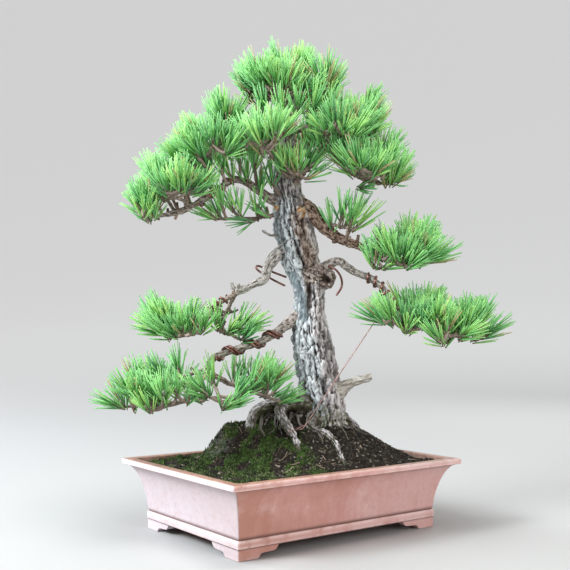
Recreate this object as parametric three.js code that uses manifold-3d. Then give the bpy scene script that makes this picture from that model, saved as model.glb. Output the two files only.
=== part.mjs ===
// A Japanese black pine bonsai in its shallow terracotta pot, in millimetres, +Z up.
// X runs along the pot's long sides. The tree's front is turned away from the pot's, so every
// point of the tree is given as seen from its front (x right, y away, z up from the pot's foot)
// and turned into the pot's frame by seen().

import * as THREE from "three";
import { mergeVertices } from "three/addons/utils/BufferGeometryUtils.js";
import Module from "manifold-3d";

const wasm = await Module();
wasm.setup();

// Driving dimensions
const FRONT_TURN = THREE.MathUtils.degToRad(-36.5); // the tree's front, from the pot's
const POT = { halfLength: 185, halfWidth: 141, height: 92.5, rim: 6.9, rimWidth: 15, wall: 9 };
const FOOT = { halfLength: 159.3, halfWidth: 111.2, height: 13.1, thickness: 11 };
const BELT = { halfLength: 160.1, halfWidth: 112.7, top: 23.7 };
const WALL_TOP = { halfLength: 182, halfWidth: 138 };
const WALL_FOOT = { halfLength: 158.5, halfWidth: 111 };
const FLOOR_TOP = 24;
const HOLE = { radius: 12, x: 80 };
const GAP = 0.35; // between neighbouring pieces
const NEEDLE_LENGTH = 47;
const WIRE_RADIUS = 1.5;
const THICK_WIRE_RADIUS = 1.75;
const GUY_RADIUS = 0.7;

const UP = new THREE.Vector3(0, 0, 1);

// Small helpers

const seen = (x, y, z) => new THREE.Vector3(x, y, z).applyAxisAngle(UP, FRONT_TURN);

// A repeatable number from 0 to 1 for each pair of whole numbers
function chance(a, b = 0) {
  const s = Math.sin(a * 12.9898 + b * 78.233 + 4.137) * 43758.5453;
  return s - Math.floor(s);
}

function solid(geometry) {
  geometry.deleteAttribute("normal");
  geometry.deleteAttribute("uv");
  const merged = mergeVertices(geometry, 1e-4);
  return new wasm.Manifold(
    new wasm.Mesh({
      numProp: 3,
      vertProperties: new Float32Array(merged.attributes.position.array),
      triVerts: new Uint32Array(merged.index.array),
    }),
  );
}

function geometryOf(manifold) {
  const mesh = manifold.getMesh();
  const geometry = new THREE.BufferGeometry();
  geometry.setAttribute("position", new THREE.BufferAttribute(mesh.vertProperties, 3));
  geometry.setIndex(new THREE.BufferAttribute(mesh.triVerts, 1));
  return geometry;
}

// The largest body of a solid: what crossing repeats cut loose is dropped
function largest(manifold) {
  const bodies = manifold.decompose();
  return bodies.reduce((best, body) => (body.volume() > best.volume() ? body : best));
}

// Closes a stack of rings, each a list of points anticlockwise about the way the stack runs
function loft(rings) {
  const sides = rings[0].length;
  const points = rings.flat();
  const faces = [];
  for (let band = 0; band + 1 < rings.length; band++) {
    for (let side = 0; side < sides; side++) {
      const next = (side + 1) % sides;
      const a = band * sides + side;
      const b = band * sides + next;
      const c = b + sides;
      const d = a + sides;
      faces.push(a, b, c, a, c, d);
    }
  }
  const last = (rings.length - 1) * sides;
  const middle = (ring) => ring.reduce((sum, p) => sum.add(p), new THREE.Vector3()).divideScalar(sides);
  const start = points.push(middle(rings[0])) - 1;
  const end = points.push(middle(rings.at(-1))) - 1;
  for (let side = 0; side < sides; side++) {
    const next = (side + 1) % sides;
    faces.push(start, next, side, end, last + side, last + next);
  }
  const geometry = new THREE.BufferGeometry();
  geometry.setAttribute(
    "position",
    new THREE.Float32BufferAttribute(points.flatMap((p) => p.toArray()), 3),
  );
  geometry.setIndex(faces);
  return geometry;
}

// A limb is a smooth line through points [x, y, z, radius], seen from the front of the tree.
// Its rings keep one frame carried along the line, so that a pattern round it never twists.
function limbFrames(points, steps) {
  const knots = points.map((p) => seen(p[0], p[1], p[2]));
  const line = new THREE.CatmullRomCurve3(knots, false, "catmullrom", 0.5);
  const frames = [];
  let side = null;
  for (let i = 0; i <= steps; i++) {
    const u = i / steps;
    const along = line.getTangent(u).normalize();
    side = side ?? (Math.abs(along.z) > 0.8 ? new THREE.Vector3(1, 0, 0) : UP.clone());
    side = side.clone().addScaledVector(along, -side.dot(along)).normalize();
    const place = u * (points.length - 1);
    const before = Math.min(Math.floor(place), points.length - 2);
    const radius = THREE.MathUtils.lerp(points[before][3], points[before + 1][3], place - before);
    frames.push({ u, centre: line.getPoint(u), along, side, other: along.clone().cross(side), radius });
  }
  return frames;
}

function around(frame, angle, radius) {
  return frame.centre
    .clone()
    .addScaledVector(frame.side, Math.cos(angle) * radius)
    .addScaledVector(frame.other, Math.sin(angle) * radius);
}

function limb(points, sides, steps, relief = () => 1, grow = 0) {
  const frames = limbFrames(points, steps);
  const heading = headings.get(points.at(-1).slice(0, 3).join());
  if (heading) {
    const end = frames.at(-1);
    end.side.addScaledVector(heading, -end.side.dot(heading)).normalize();
    end.other.crossVectors(heading, end.side);
  }
  const rings = frames.map((frame) =>
    Array.from({ length: sides }, (_, s) => {
      const angle = (2 * Math.PI * s) / sides;
      return around(frame, angle, frame.radius * relief(angle, frame) + grow);
    }),
  );
  return solid(loft(rings));
}

// The pot

// Eight points round a rectangle with small corners
function rectangle(halfLength, halfWidth, z, corner) {
  const a = halfLength;
  const b = halfWidth;
  return [
    [a, b - corner], [a - corner, b], [corner - a, b], [-a, b - corner],
    [-a, corner - b], [corner - a, -b], [a - corner, -b], [a, corner - b],
  ].map(([x, y]) => new THREE.Vector3(x, y, z));
}

// How far the wall has flared out at a height share t: it bends outwards towards the rim
const flare = (t) => 0.22 * t + 0.78 * (1 - Math.sqrt(1 - t * t));

function wallHalf(share) {
  const out = flare(share);
  return [
    THREE.MathUtils.lerp(WALL_FOOT.halfLength, WALL_TOP.halfLength, out),
    THREE.MathUtils.lerp(WALL_FOOT.halfWidth, WALL_TOP.halfWidth, out),
  ];
}

const WALL_SHARES = [0, 0.35, 0.6, 0.78, 0.9, 1];
const wallHeight = (share) => THREE.MathUtils.lerp(BELT.top + 0.3, POT.height - POT.rim, share);

function potSolid() {
  const rimFoot = POT.height - POT.rim;
  const rings = [
    rectangle(FOOT.halfLength, FOOT.halfWidth, 0, 3),
    rectangle(FOOT.halfLength, FOOT.halfWidth, FOOT.height - 0.4, 3),
    rectangle(BELT.halfLength, BELT.halfWidth, FOOT.height, 3),
    rectangle(BELT.halfLength, BELT.halfWidth, BELT.top, 3),
    ...WALL_SHARES.map((share) => rectangle(...wallHalf(share), wallHeight(share), 2.5)),
    rectangle(POT.halfLength, POT.halfWidth, rimFoot + 0.6, 2.5),
    rectangle(POT.halfLength, POT.halfWidth, POT.height - 1.2, 2.5),
    rectangle(POT.halfLength - 1, POT.halfWidth - 1, POT.height, 2.5),
  ];
  return solid(loft(rings))
    .subtract(hollow(0))
    .subtract(solid(footCut(FOOT.halfLength, 2 * POT.halfWidth, 0)))
    .subtract(solid(footCut(FOOT.halfWidth, 2 * POT.halfLength, Math.PI / 2)))
    .subtract(underside())
    .subtract(drainHole(1))
    .subtract(drainHole(-1));
}

// The inside of the pot, drawn in by a margin: the pot's hollow with none, the soil with one
function hollow(margin) {
  const rings = WALL_SHARES.map((share) => {
    const [length, width] = wallHalf(share);
    const inLength = Math.min(length - POT.wall, POT.halfLength - POT.rimWidth);
    const inWidth = Math.min(width - POT.wall, POT.halfWidth - POT.rimWidth);
    const z = share === 0 ? FLOOR_TOP : wallHeight(share);
    return rectangle(inLength - margin, inWidth - margin, z + (share === 0 ? margin : 0), 6);
  });
  const mouth = rectangle(
    POT.halfLength - POT.rimWidth - margin,
    POT.halfWidth - POT.rimWidth - margin,
    POT.height + 60,
    6,
  );
  return solid(loft([...rings, mouth]));
}

// The stepped arch under one pair of sides: from each corner a flat pad, a rise, a shelf
function footCut(half, depth, turn) {
  const shape = new THREE.Shape();
  const steps = [[28, -1], [28, 0], [30.5, 3.6], [34, 6], [52, 6.5], [55.5, 9], [58, FOOT.height]];
  steps.forEach(([inward, z], i) => (i ? shape.lineTo(inward - half, z) : shape.moveTo(inward - half, z)));
  steps.reverse().forEach(([inward, z]) => shape.lineTo(half - inward, z));
  const geometry = new THREE.ExtrudeGeometry(shape, { depth, bevelEnabled: false });
  return geometry
    .translate(0, 0, -depth / 2)
    .rotateX(Math.PI / 2)
    .rotateZ(turn);
}

// The recess between the feet, which leaves them as angle-shaped walls
function underside() {
  const length = FOOT.halfLength - FOOT.thickness;
  const width = FOOT.halfWidth - FOOT.thickness;
  return solid(loft([rectangle(length, width, -1, 3), rectangle(length, width, FOOT.height, 3)]));
}

function drainHole(way) {
  const hole = new THREE.CylinderGeometry(HOLE.radius, HOLE.radius, 30, 16);
  return solid(hole.rotateX(Math.PI / 2).translate(way * HOLE.x, 0, FLOOR_TOP - 10));
}

// The net over a drain hole: a thin square plate with windows between its bars
function screenSolid() {
  let net = solid(new THREE.BoxGeometry(38, 38, 1.2).translate(0, 0, 0.6));
  for (const x of [-1, 1]) {
    for (const y of [-1, 1]) {
      net = net.subtract(solid(new THREE.BoxGeometry(8, 8, 4).translate(x * 5.5, y * 5.5, 0)));
    }
  }
  return net;
}

// The wood: trunk, roots, branches and the dead stub, each [x, y, z, radius] as seen

const TRUNK = [
  [42, 10, 100, 36], [42, 10, 120, 36], [41, 10, 140, 32], [41, 10, 160, 30], [40, 10, 182, 29],
  [36, 9, 212, 27.5], [32, 8, 240, 26.5], [27, 6, 267, 24], [25, 5, 295, 19.5], [24, 5, 322, 20.5],
  [20, 6, 345, 22.5], [13, 8, 364, 26], [9, 9, 385, 26], [3, 10, 413, 26], [0, 10, 438, 23],
  [-4, 10, 455, 18], [-8, 10, 477, 16], [-10, 12, 496, 12.5], [-8, 14, 520, 10], [-1, 14, 548, 7.5],
  [1, 11, 575, 5], [1, 9, 600, 2.6],
];

const ROOTS = [
  [[30, 4, 166, 14], [6, -8, 169, 10.5], [-14, -13, 167, 8.5], [-32, -18, 165, 7.5], [-45, -23, 160, 7],
    [-54, -27, 149, 7], [-59, -30, 134, 6.5], [-63, -32, 116, 5.5]],
  [[24, -4, 168, 13], [2, -18, 167, 8], [-15, -30, 161.5, 6.5], [-11, -44, 149, 6], [-3, -55, 138, 5.6],
    [5, -62, 129, 5.2], [9, -69, 119, 4.8], [12, -76, 106, 4]],
  [[44, -8, 148, 14], [27, -27, 142, 9], [27, -42, 137, 6.5], [40, -50, 133, 6], [50, -56, 128, 5.6],
    [57, -62, 121, 5], [62, -72, 111, 4.6], [66, -82, 97, 4]],
  [[56, 8, 138, 12], [74, 10, 126, 8], [90, 10, 116, 6.5], [106, 6, 107, 5.5], [122, 2, 95, 4]],
  [[40, 30, 152, 13], [36, 56, 140, 9], [30, 82, 124, 7], [26, 104, 104, 5]],
  [[58, 24, 152, 12], [84, 46, 134, 8], [106, 62, 110, 5]],
  [[34, 8, 148, 24], [10, 2, 142, 21], [-14, -3, 136, 17], [-32, -8, 122, 12], [-40, -10, 104, 8]],
];

const LOWER_LEFT = [
  [12, 6, 287, 9], [-4, 0, 276, 8], [-21, -8, 263, 6], [-40, -12, 252, 5], [-63, -14, 244, 4.8],
  [-86, -16, 237, 4.6], [-104, -20, 229, 4.4], [-113, -24, 216, 4.2], [-120, -27, 200, 3.8],
  [-133, -31, 179, 3], [-151, -36, 171, 2.2],
];
const MID_LEFT = [
  [6, 10, 388, 11], [-10, 5, 378, 9.5], [-24, 1, 366, 8], [-33, -3, 350, 7], [-37, -5, 337, 6],
  [-50, -6, 330, 5], [-63, -7, 324, 5], [-76, -8, 319, 5.5],
];
const MID_LEFT_UPPER = [
  [-74, -8, 320, 4.5], [-83, -10, 312, 3.6], [-96, -13, 305, 3.4], [-106, -16, 297, 3.4],
  [-113, -18, 283, 3], [-121, -21, 269, 2.8], [-144, -26, 262, 2.2],
];
const RIGHT_LOWER = [
  [24, 10, 340, 12], [47, 4, 353, 8], [64, 0, 362, 6.5], [77, -4, 353, 5.5], [88, -6, 346, 4.8],
  [103, -8, 340, 4.8], [116, -10, 332, 4.6], [127, -12, 321, 4.2], [130, -14, 308, 3.8],
  [137, -16, 291, 3.4], [150, -18, 279, 3.2], [181, -20, 270, 2.8],
  [206, -24, 265, 2.2],
];
const CROWN_LEFT = [
  [-12, 10, 446, 9], [-29, 4, 450, 7], [-46, -4, 460, 6], [-62, -10, 470, 5.2], [-80, -16, 472, 4.8],
  [-97, -20, 460, 4.6], [-116, -24, 446, 4.6], [-137, -26, 433, 4.2], [-159, -26, 425, 4],
  [-186, -24, 420, 2.2],
];
const CROWN_STUB = [[0, 2, 466, 6], [14, -12, 478, 4], [24, -20, 492, 3.4]];

const BRANCHES = [
  LOWER_LEFT,
  MID_LEFT,
  MID_LEFT_UPPER,
  [[-74, -8, 320, 4], [-81, -2, 308, 3], [-88, 4, 293, 2.8], [-96, 10, 278, 2.6],
    [-92, 8, 262, 2.2]],
  [[-76, -8, 319, 3.4], [-80, -9, 326, 2.8], [-81, -10, 332, 2]], // a pruned stub
  [[-71, -8, 320, 4.4], [-73, -12, 329, 3.4]], // a cut end
  [[22, 8, 342, 20], [38, 3, 340, 18], [50, 0, 336, 15], [58, -2, 332, 9]], // the knot
  RIGHT_LOWER,
  [[4, 10, 440, 16], [26, 2, 430, 13], [40, -4, 415, 9.5], [56, -8, 399, 7.5], [74, -10, 389, 6.5],
    [92, -10, 382, 5.5], [108, -10, 374, 5], [127, -10, 364, 4], [148, -12, 360, 3],
    [166, -14, 361, 2.2]],
  CROWN_LEFT,
  [[-2, 10, 480, 10], [17, 4, 492, 8], [34, -2, 508, 7], [48, -6, 519, 6], [59, -8, 514, 6],
    [70, -10, 499, 6], [88, -12, 482, 5.5], [108, -14, 472, 4.6], [124, -16, 467, 2.2]],
  [[-8, 14, 518, 7], [-32, 8, 518, 5], [-68, 0, 513, 4], [-97, -4, 509, 3.4], [-128, -8, 502, 2.2]],
  [[-1, 14, 548, 6], [28, 10, 549, 5], [58, 6, 544, 4], [88, 0, 539, 2.2]],
  [[-9, 10, 494, 7], [-15, -20, 492, 4], [-25, -58, 496, 2.2]],
  [[-8, 12, 500, 7], [-1, 45, 519, 4.5], [11, 88, 538, 2.2]],
  [[-8, 14, 520, 6], [-42, 45, 526, 4], [-82, 80, 533, 2.2]],
  [[-6, 14, 518, 6], [31, 45, 534, 4.2], [73, 76, 540, 2.2]],
  CROWN_STUB,
  [[-14, 8, 430, 4], [-30, 4, 425, 2.8], [-48, -2, 421, 2.2]],
  [[46, 8, 172, 15], [62, 5, 181, 12], [75, 3, 190, 8], [88, 1, 197, 6], [100, -1, 200, 5.2],
    [110, -2, 203, 4.2]], // the dead stub low on the right
  [[-10, 8, 404, 3], [-26, 4, 398, 2], [-40, 0, 404, 1.4]], // a dead twig
];

// The sprays: each has a short twig of the wood from a point in a branch to the spray's root, or
// none where a branch ends at that root, and then its own stem, which runs from the root to its
// tip. The last number counts the pairs of side shoots.
const SPRAYS = [
  ["lower_left_tip", null, [-151, -36, 171], [-226, -44, 165], 3],
  ["lower_left_back", [-120, -27, 199], [-144, 4, 190], [-212, 44, 174], 2],
  ["lower_left_front", [-125, -28, 190], [-138, -60, 174], [-178, -96, 165], 2],
  ["lower_left_top", [-114, -24, 214], [-134, -28, 208], [-168, -12, 198], 1],
  ["lower_left_near_front", [-116, -25, 209], [-98, -58, 190], [-86, -90, 168], 2],
  ["lower_left_near", [-114, -24, 213], [-74, -44, 193], [-14, -56, 173], 2],
  ["lower_left_near_back", [-115, -25, 211], [-88, 8, 193], [-42, 48, 177], 2],
  ["mid_left_tip", null, [-144, -26, 262], [-176, -34, 262], 2],
  ["mid_left_front", [-116, -19, 273], [-128, -50, 261], [-158, -82, 257], 2],
  ["mid_left_back", [-116, -19, 276], [-137, 14, 268], [-180, 44, 267], 2],
  ["mid_left_near", null, [-92, 8, 262], [-86, -4, 262], 1],
  ["right_lower_tip", null, [206, -24, 265], [258, -34, 258], 3],
  ["right_lower_front", [168, -19, 273], [188, -54, 264], [216, -86, 257], 2],
  ["right_lower_back", [170, -19, 273], [204, 16, 273], [248, 48, 270], 2],
  ["right_lower_near_front", [141, -16, 287], [150, -44, 276], [148, -74, 264], 2],
  ["right_lower_near_back", [146, -17, 283], [168, 14, 286], [184, 46, 287], 2],
  ["right_upper_tip", null, [166, -14, 361], [188, -22, 359], 2],
  ["right_upper_front", [130, -10, 364], [142, -42, 353], [152, -74, 346], 2],
  ["right_upper_back", [132, -10, 363], [152, 20, 374], [178, 50, 382], 2],
  ["right_upper_low", [107, -10, 374], [116, -30, 358], [124, -48, 347], 1],
  ["right_upper_near", [48, -7, 406], [52, -18, 411], [84, -24, 403], 2],
  ["crown_left_tip", null, [-186, -24, 420], [-203, -28, 426], 2],
  ["crown_left_mid", [-157, -26, 426], [-164, -26, 437], [-178, -30, 458], 2],
  ["crown_left_front", [-140, -26, 432], [-142, -50, 438], [-160, -78, 442], 2],
  ["crown_left_back", [-142, -26, 431], [-148, 8, 456], [-176, 40, 472], 2],
  ["crown_side_tip", null, [-128, -8, 502], [-150, -13, 498], 2],
  ["crown_side_front", [-94, -4, 509], [-101, -34, 500], [-122, -62, 494], 2],
  ["crown_side_back", [-92, -4, 509], [-104, 28, 524], [-126, 58, 534], 2],
  ["crown_side_top", [-68, 0, 513], [-76, -2, 530], [-100, -6, 554], 2],
  ["crown_top_left", [-1, 13, 560], [-26, 6, 572], [-58, -4, 598], 3],
  ["crown_top_front", [0, 12, 568], [-8, -16, 570], [-22, -44, 592], 2],
  ["crown_top", null, [1, 9, 600], [2, 4, 622], 2],
  ["crown_top_back", [0, 12, 566], [4, 44, 582], [8, 74, 602], 2],
  ["crown_top_right", [26, 10, 549], [38, 4, 568], [56, 0, 598], 2],
  ["crown_right_tip", null, [88, 0, 539], [110, -6, 542], 2],
  ["crown_right_front", [55, 7, 544], [64, -26, 530], [80, -56, 522], 2],
  ["crown_right_back", [56, 6, 544], [70, 38, 560], [88, 68, 574], 2],
  ["crown_right_low", null, [124, -16, 467], [140, -22, 472], 1],
  ["crown_right_low_front", [90, -12, 481], [93, -40, 472], [106, -66, 470], 2],
  ["crown_right_low_back", [90, -12, 481], [100, 20, 497], [120, 48, 510], 2],
  ["crown_front", null, [-25, -58, 496], [-40, -80, 508], 2],
  ["crown_front_low", [-10, 0, 478], [-2, -28, 474], [8, -54, 475], 2],
  ["crown_low_left", null, [-48, -2, 421], [-104, -17, 418], 2],
  ["crown_back", null, [11, 88, 538], [16, 106, 546], 1],
  ["crown_back_left", null, [-82, 80, 533], [-96, 94, 545], 2],
  ["crown_back_right", null, [73, 76, 540], [90, 92, 548], 2],
];

const TWIG_BASE = 3;
const TWIG_END = 2.2;

const TWIGS = SPRAYS.filter(([, from]) => from).map(([, from, root]) => [
  [...from, TWIG_BASE],
  [...root, TWIG_END],
]);

// The way that each spray sets out from its root: the wood ends square to it there
const headings = new Map(
  SPRAYS.map(([, , root, tip]) => [root.join(), seen(...tip).sub(seen(...root)).normalize()]),
);

// Bark in plates: upright ridges that wander round the trunk, and the flare of the roots below
const FLARE_TOP = 190;
function trunkRelief(angle, frame) {
  const z = frame.centre.z;
  const ridges = Math.abs(Math.sin(3.5 * angle + 0.9 * Math.sin(z / 31) + z / 170));
  const plates = Math.sin(5 * angle + z / 13);
  const low = Math.max(0, (FLARE_TOP - z) / FLARE_TOP);
  return 0.92 + 0.13 * ridges + 0.025 * plates + 0.5 * low * low * (1 + 0.6 * Math.cos(5 * angle + 0.7));
}

function branchRelief(angle, frame) {
  return 1 + 0.06 * Math.sin(2 * angle + frame.u * 23) + 0.05 * Math.sin(frame.u * 31);
}

function woodSolid() {
  let wood = limb(TRUNK, 16, 24, trunkRelief);
  for (const root of ROOTS) {
    wood = wood.add(limb(root, 6, root.length, branchRelief));
  }
  for (const branch of BRANCHES) {
    const thick = branch[0][3] > 14;
    wood = wood.add(limb(branch, thick ? 8 : 5, branch.length - 1, branchRelief));
  }
  for (const twig of TWIGS) {
    wood = wood.add(limb(twig, 3, 1));
  }
  return largest(wood);
}

// The soil: a mound that rises to the roots, with plain holes where the wood goes in

const SOIL_EDGE = 88;
const MOUND = 48;
const LEFT_HUMP = 45;

// The soil's height over a point of the pot's frame: a round mound and a steeper hump on its left
function soilHeight(x, y) {
  const spot = new THREE.Vector3(x, y, 0).applyAxisAngle(UP, -FRONT_TURN);
  const away = Math.hypot((spot.x - 15) / 150, spot.y / (spot.y < 0 ? 100 : 130));
  const mound = MOUND * THREE.MathUtils.smoothstep(1.12 - away, 0, 0.76);
  const across = THREE.MathUtils.smoothstep(spot.x, -126, -88);
  const along = THREE.MathUtils.smoothstep(62 - Math.abs(spot.y + 4), 0, 44);
  const hump = LEFT_HUMP * across * along * THREE.MathUtils.smoothstep(10 - spot.x, 0, 60);
  const swell = 1.2 * Math.sin(x / 17 + 1) * Math.sin(y / 14);
  return SOIL_EDGE + (mound ** 4 + hump ** 4) ** 0.25 + swell;
}

function soilSolid() {
  const halfLength = POT.halfLength - POT.rimWidth;
  const halfWidth = POT.halfWidth - POT.rimWidth;
  const across = 12;
  const deep = 9;
  const top = new THREE.PlaneGeometry(2 * halfLength + 8, 2 * halfWidth + 8, across, deep).toNonIndexed();
  const spots = top.attributes.position;
  const points = [];
  const lift = (x, y) => new THREE.Vector3(x, y, soilHeight(x, y));
  for (let i = 0; i < spots.count; i++) {
    points.push(lift(spots.getX(i), spots.getY(i)));
  }
  const upper = points.length;
  for (let i = 0; i < upper; i += 3) {
    points.push(...[i, i + 2, i + 1].map((k) => points[k].clone().setZ(0)));
  }
  const x = halfLength + 4;
  const y = halfWidth + 4;
  const corners = [[-x, -y], [x, -y], [x, y], [-x, y]];
  corners.forEach(([fromX, fromY], c) => {
    const [toX, toY] = corners[(c + 1) % 4];
    const parts = fromY === toY ? across : deep;
    for (let i = 0; i < parts; i++) {
      const spot = (k) => [fromX + ((toX - fromX) * k) / parts, fromY + ((toY - fromY) * k) / parts];
      const a = lift(...spot(i));
      const b = lift(...spot(i + 1));
      const aLow = a.clone().setZ(0);
      const bLow = b.clone().setZ(0);
      points.push(aLow, bLow, b, aLow, b, a);
    }
  });
  const block = new THREE.BufferGeometry();
  block.setAttribute("position", new THREE.Float32BufferAttribute(points.flatMap((p) => p.toArray()), 3));
  let soil = solid(block).intersect(hollow(GAP));
  const foot = [42, 10, TRUNK[0][2] - 1, TRUNK[0][3]];
  soil = soil.subtract(limb([foot, ...TRUNK.slice(0, 5)], 12, 5, () => 1.3, 1));
  for (const root of ROOTS) {
    const [before, end] = root.slice(-2);
    const beyond = end.map((value, i) => (i < 3 ? value + 0.08 * (value - before[i]) : value));
    soil = soil.subtract(limb([...root.slice(0, -1), beyond], 6, root.length, () => 1.25, 0.8));
  }
  for (const way of [-1, 1]) {
    const pocket = new THREE.BoxGeometry(39, 39, 3).translate(way * HOLE.x, 0, FLOOR_TOP + 1);
    soil = soil.subtract(solid(pocket));
  }
  return largest(soil);
}

// The wires

const STEPS_PER_TURN = 7;
const BRANCH_SWELL = 1.13; // how far a branch's relief stands out, as a share of its radius

// The path of a wire wound on a limb from one share of its length to another
function winding(points, start, end, turns, radius, phase, slack = 1.1) {
  const fine = 60;
  const frames = limbFrames(points, fine);
  const steps = Math.round(turns * STEPS_PER_TURN);
  return Array.from({ length: steps + 1 }, (_, i) => {
    const share = i / steps;
    const place = THREE.MathUtils.lerp(start, end, share) * fine;
    const before = Math.min(Math.floor(place), fine - 1);
    const angle = phase + 2 * Math.PI * turns * share;
    const off = (frame) => around(frame, angle, frame.radius * BRANCH_SWELL + radius + slack);
    return off(frames[before]).lerp(off(frames[before + 1]), place - before);
  });
}

// A wire of even thickness through a list of points
function wireSolid(points, radius, sides = 4) {
  const rings = [];
  let side = UP.clone();
  points.forEach((point, i) => {
    const before = points[Math.max(i - 1, 0)];
    const after = points[Math.min(i + 1, points.length - 1)];
    const along = after.clone().sub(before).normalize();
    side = side.clone().addScaledVector(along, -side.dot(along));
    if (side.lengthSq() < 0.01) {
      side = new THREE.Vector3(1, 0, 0).addScaledVector(along, -along.x);
    }
    side.normalize();
    const frame = { centre: point, side, other: along.clone().cross(side) };
    rings.push(Array.from({ length: sides }, (_, s) => around(frame, (2 * Math.PI * s) / sides, radius)));
  });
  return solid(loft(rings));
}

const bend = (points) => points.map((p) => seen(...p));

const WIRES = {
  wire_lower_left_outer: winding(LOWER_LEFT, 0.14, 0.58, 3.6, THICK_WIRE_RADIUS, 1.2),
  wire_lower_left_inner: winding(LOWER_LEFT, 0.162, 0.602, 3.6, THICK_WIRE_RADIUS, 1.2),
  wire_mid_left: winding(MID_LEFT_UPPER, 0.2, 0.56, 3.2, WIRE_RADIUS, 0.4),
  wire_mid_left_hook: bend([
    [-6, 8, 340], [-24, 11, 347], [-42, 11, 355], [-48, 11, 355.5], [-47, 11, 351], [-36, 11, 343],
    [-20, 9, 334], [-8, 6, 328],
  ]),
  wire_crown_left: winding(CROWN_LEFT, 0.44, 0.73, 3.4, WIRE_RADIUS, 2.2),
  wire_right_lower: winding(RIGHT_LOWER, 0.42, 0.63, 3.4, WIRE_RADIUS, 0.3),
  wire_knot: bend([
    [50, -21, 354], [61, -19, 348], [68, -14, 338], [69, -9, 326], [62, -5, 314],
  ]),
  wire_crown_stub: winding(CROWN_STUB, 0.8, 0.99, 1, WIRE_RADIUS, 3.6),
};

// The guy wire: tied round the right lower branch, straight down, and tied round a root
const GUY_WIRE = [
  ...winding(RIGHT_LOWER, 0.672, 0.685, 1.2, GUY_RADIUS, 0, 1.6),
  ...bend([[15, -60, 139]]),
  ...winding(ROOTS[1], 0.61, 0.625, 1.2, GUY_RADIUS, 3.7, 1.2),
];

// The foliage

// What is in place already, as cones: { a, b, atA, atB, node, shoot }. New pieces keep clear.
const taken = [];
const CELL = 30;
const cells = new Map();

function cellsAlong(a, b, reach) {
  const keys = new Set();
  const steps = Math.ceil(a.distanceTo(b) / (CELL / 2)) + 1;
  for (let i = 0; i <= steps; i++) {
    const p = a.clone().lerp(b, i / steps);
    const [x, y, z] = [p.x, p.y, p.z].map((v) => [v - reach, v + reach].map((w) => Math.floor(w / CELL)));
    for (let cx = x[0]; cx <= x[1]; cx++) {
      for (let cy = y[0]; cy <= y[1]; cy++) {
        for (let cz = z[0]; cz <= z[1]; cz++) {
          keys.add(`${cx},${cy},${cz}`);
        }
      }
    }
  }
  return keys;
}

function take(cone) {
  const index = taken.push(cone) - 1;
  for (const key of cellsAlong(cone.a, cone.b, Math.max(cone.atA, cone.atB) + 4)) {
    cells.set(key, [...(cells.get(key) ?? []), index]);
  }
}

function takeLine(points, radius, node) {
  for (let i = 0; i + 1 < points.length; i++) {
    take({ a: points[i], b: points[i + 1], atA: radius, atB: radius, node });
  }
}

// The room left between two cones, from the nearest points of their axes
function room(one, two) {
  const d1 = one.b.clone().sub(one.a);
  const d2 = two.b.clone().sub(two.a);
  const r = one.a.clone().sub(two.a);
  const a = d1.lengthSq();
  const e = d2.lengthSq();
  const b = d1.dot(d2);
  const c = d1.dot(r);
  const f = d2.dot(r);
  const clamp = (v) => THREE.MathUtils.clamp(v, 0, 1);
  const spread = a * e - b * b;
  let s = spread > 1e-9 ? clamp((b * f - c * e) / spread) : 0;
  let t = (b * s + f) / e;
  if (t < 0 || t > 1) {
    t = clamp(t);
    s = clamp((b * t - c) / a);
  }
  const between = one.a.clone().addScaledVector(d1, s).distanceTo(two.a.clone().addScaledVector(d2, t));
  return between - THREE.MathUtils.lerp(one.atA, one.atB, s) - THREE.MathUtils.lerp(two.atA, two.atB, t);
}

// Whether a cone keeps clear of all that is in place, but for the shoot that it belongs to
function isClear(cone, excused) {
  const near = new Set();
  for (const key of cellsAlong(cone.a, cone.b, Math.max(cone.atA, cone.atB) + 1)) {
    for (const index of cells.get(key) ?? []) {
      near.add(index);
    }
  }
  for (const index of near) {
    const other = taken[index];
    if (!excused(other) && room(cone, other) < GAP) {
      return false;
    }
  }
  return true;
}

const STEM_RADIUS = 2.3;
const SHOOT_RADIUS = 1.7;
const STATION = 3; // the length of stem that two side shoots grow from
const BAND = 2.8; // the length of shoot that one round of needles grows from
const SHOOT_LENGTH = 2 * BAND;
const NEEDLE_BASE = 1.3;
const NEEDLE_END = 0.1;
const TRIES = 12;
const LOWEST = -0.05; // needles turn up rather than point further down than this

// A square ring, anticlockwise about the axis, whose first corner is on the side given
function squareRing(centre, axis, toCorner, radius) {
  const side = toCorner.clone().addScaledVector(axis, -toCorner.dot(axis)).normalize();
  const frame = { centre, side, other: axis.clone().cross(side) };
  return [0, 1, 2, 3].map((corner) => around(frame, (Math.PI / 2) * corner, radius));
}

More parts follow.
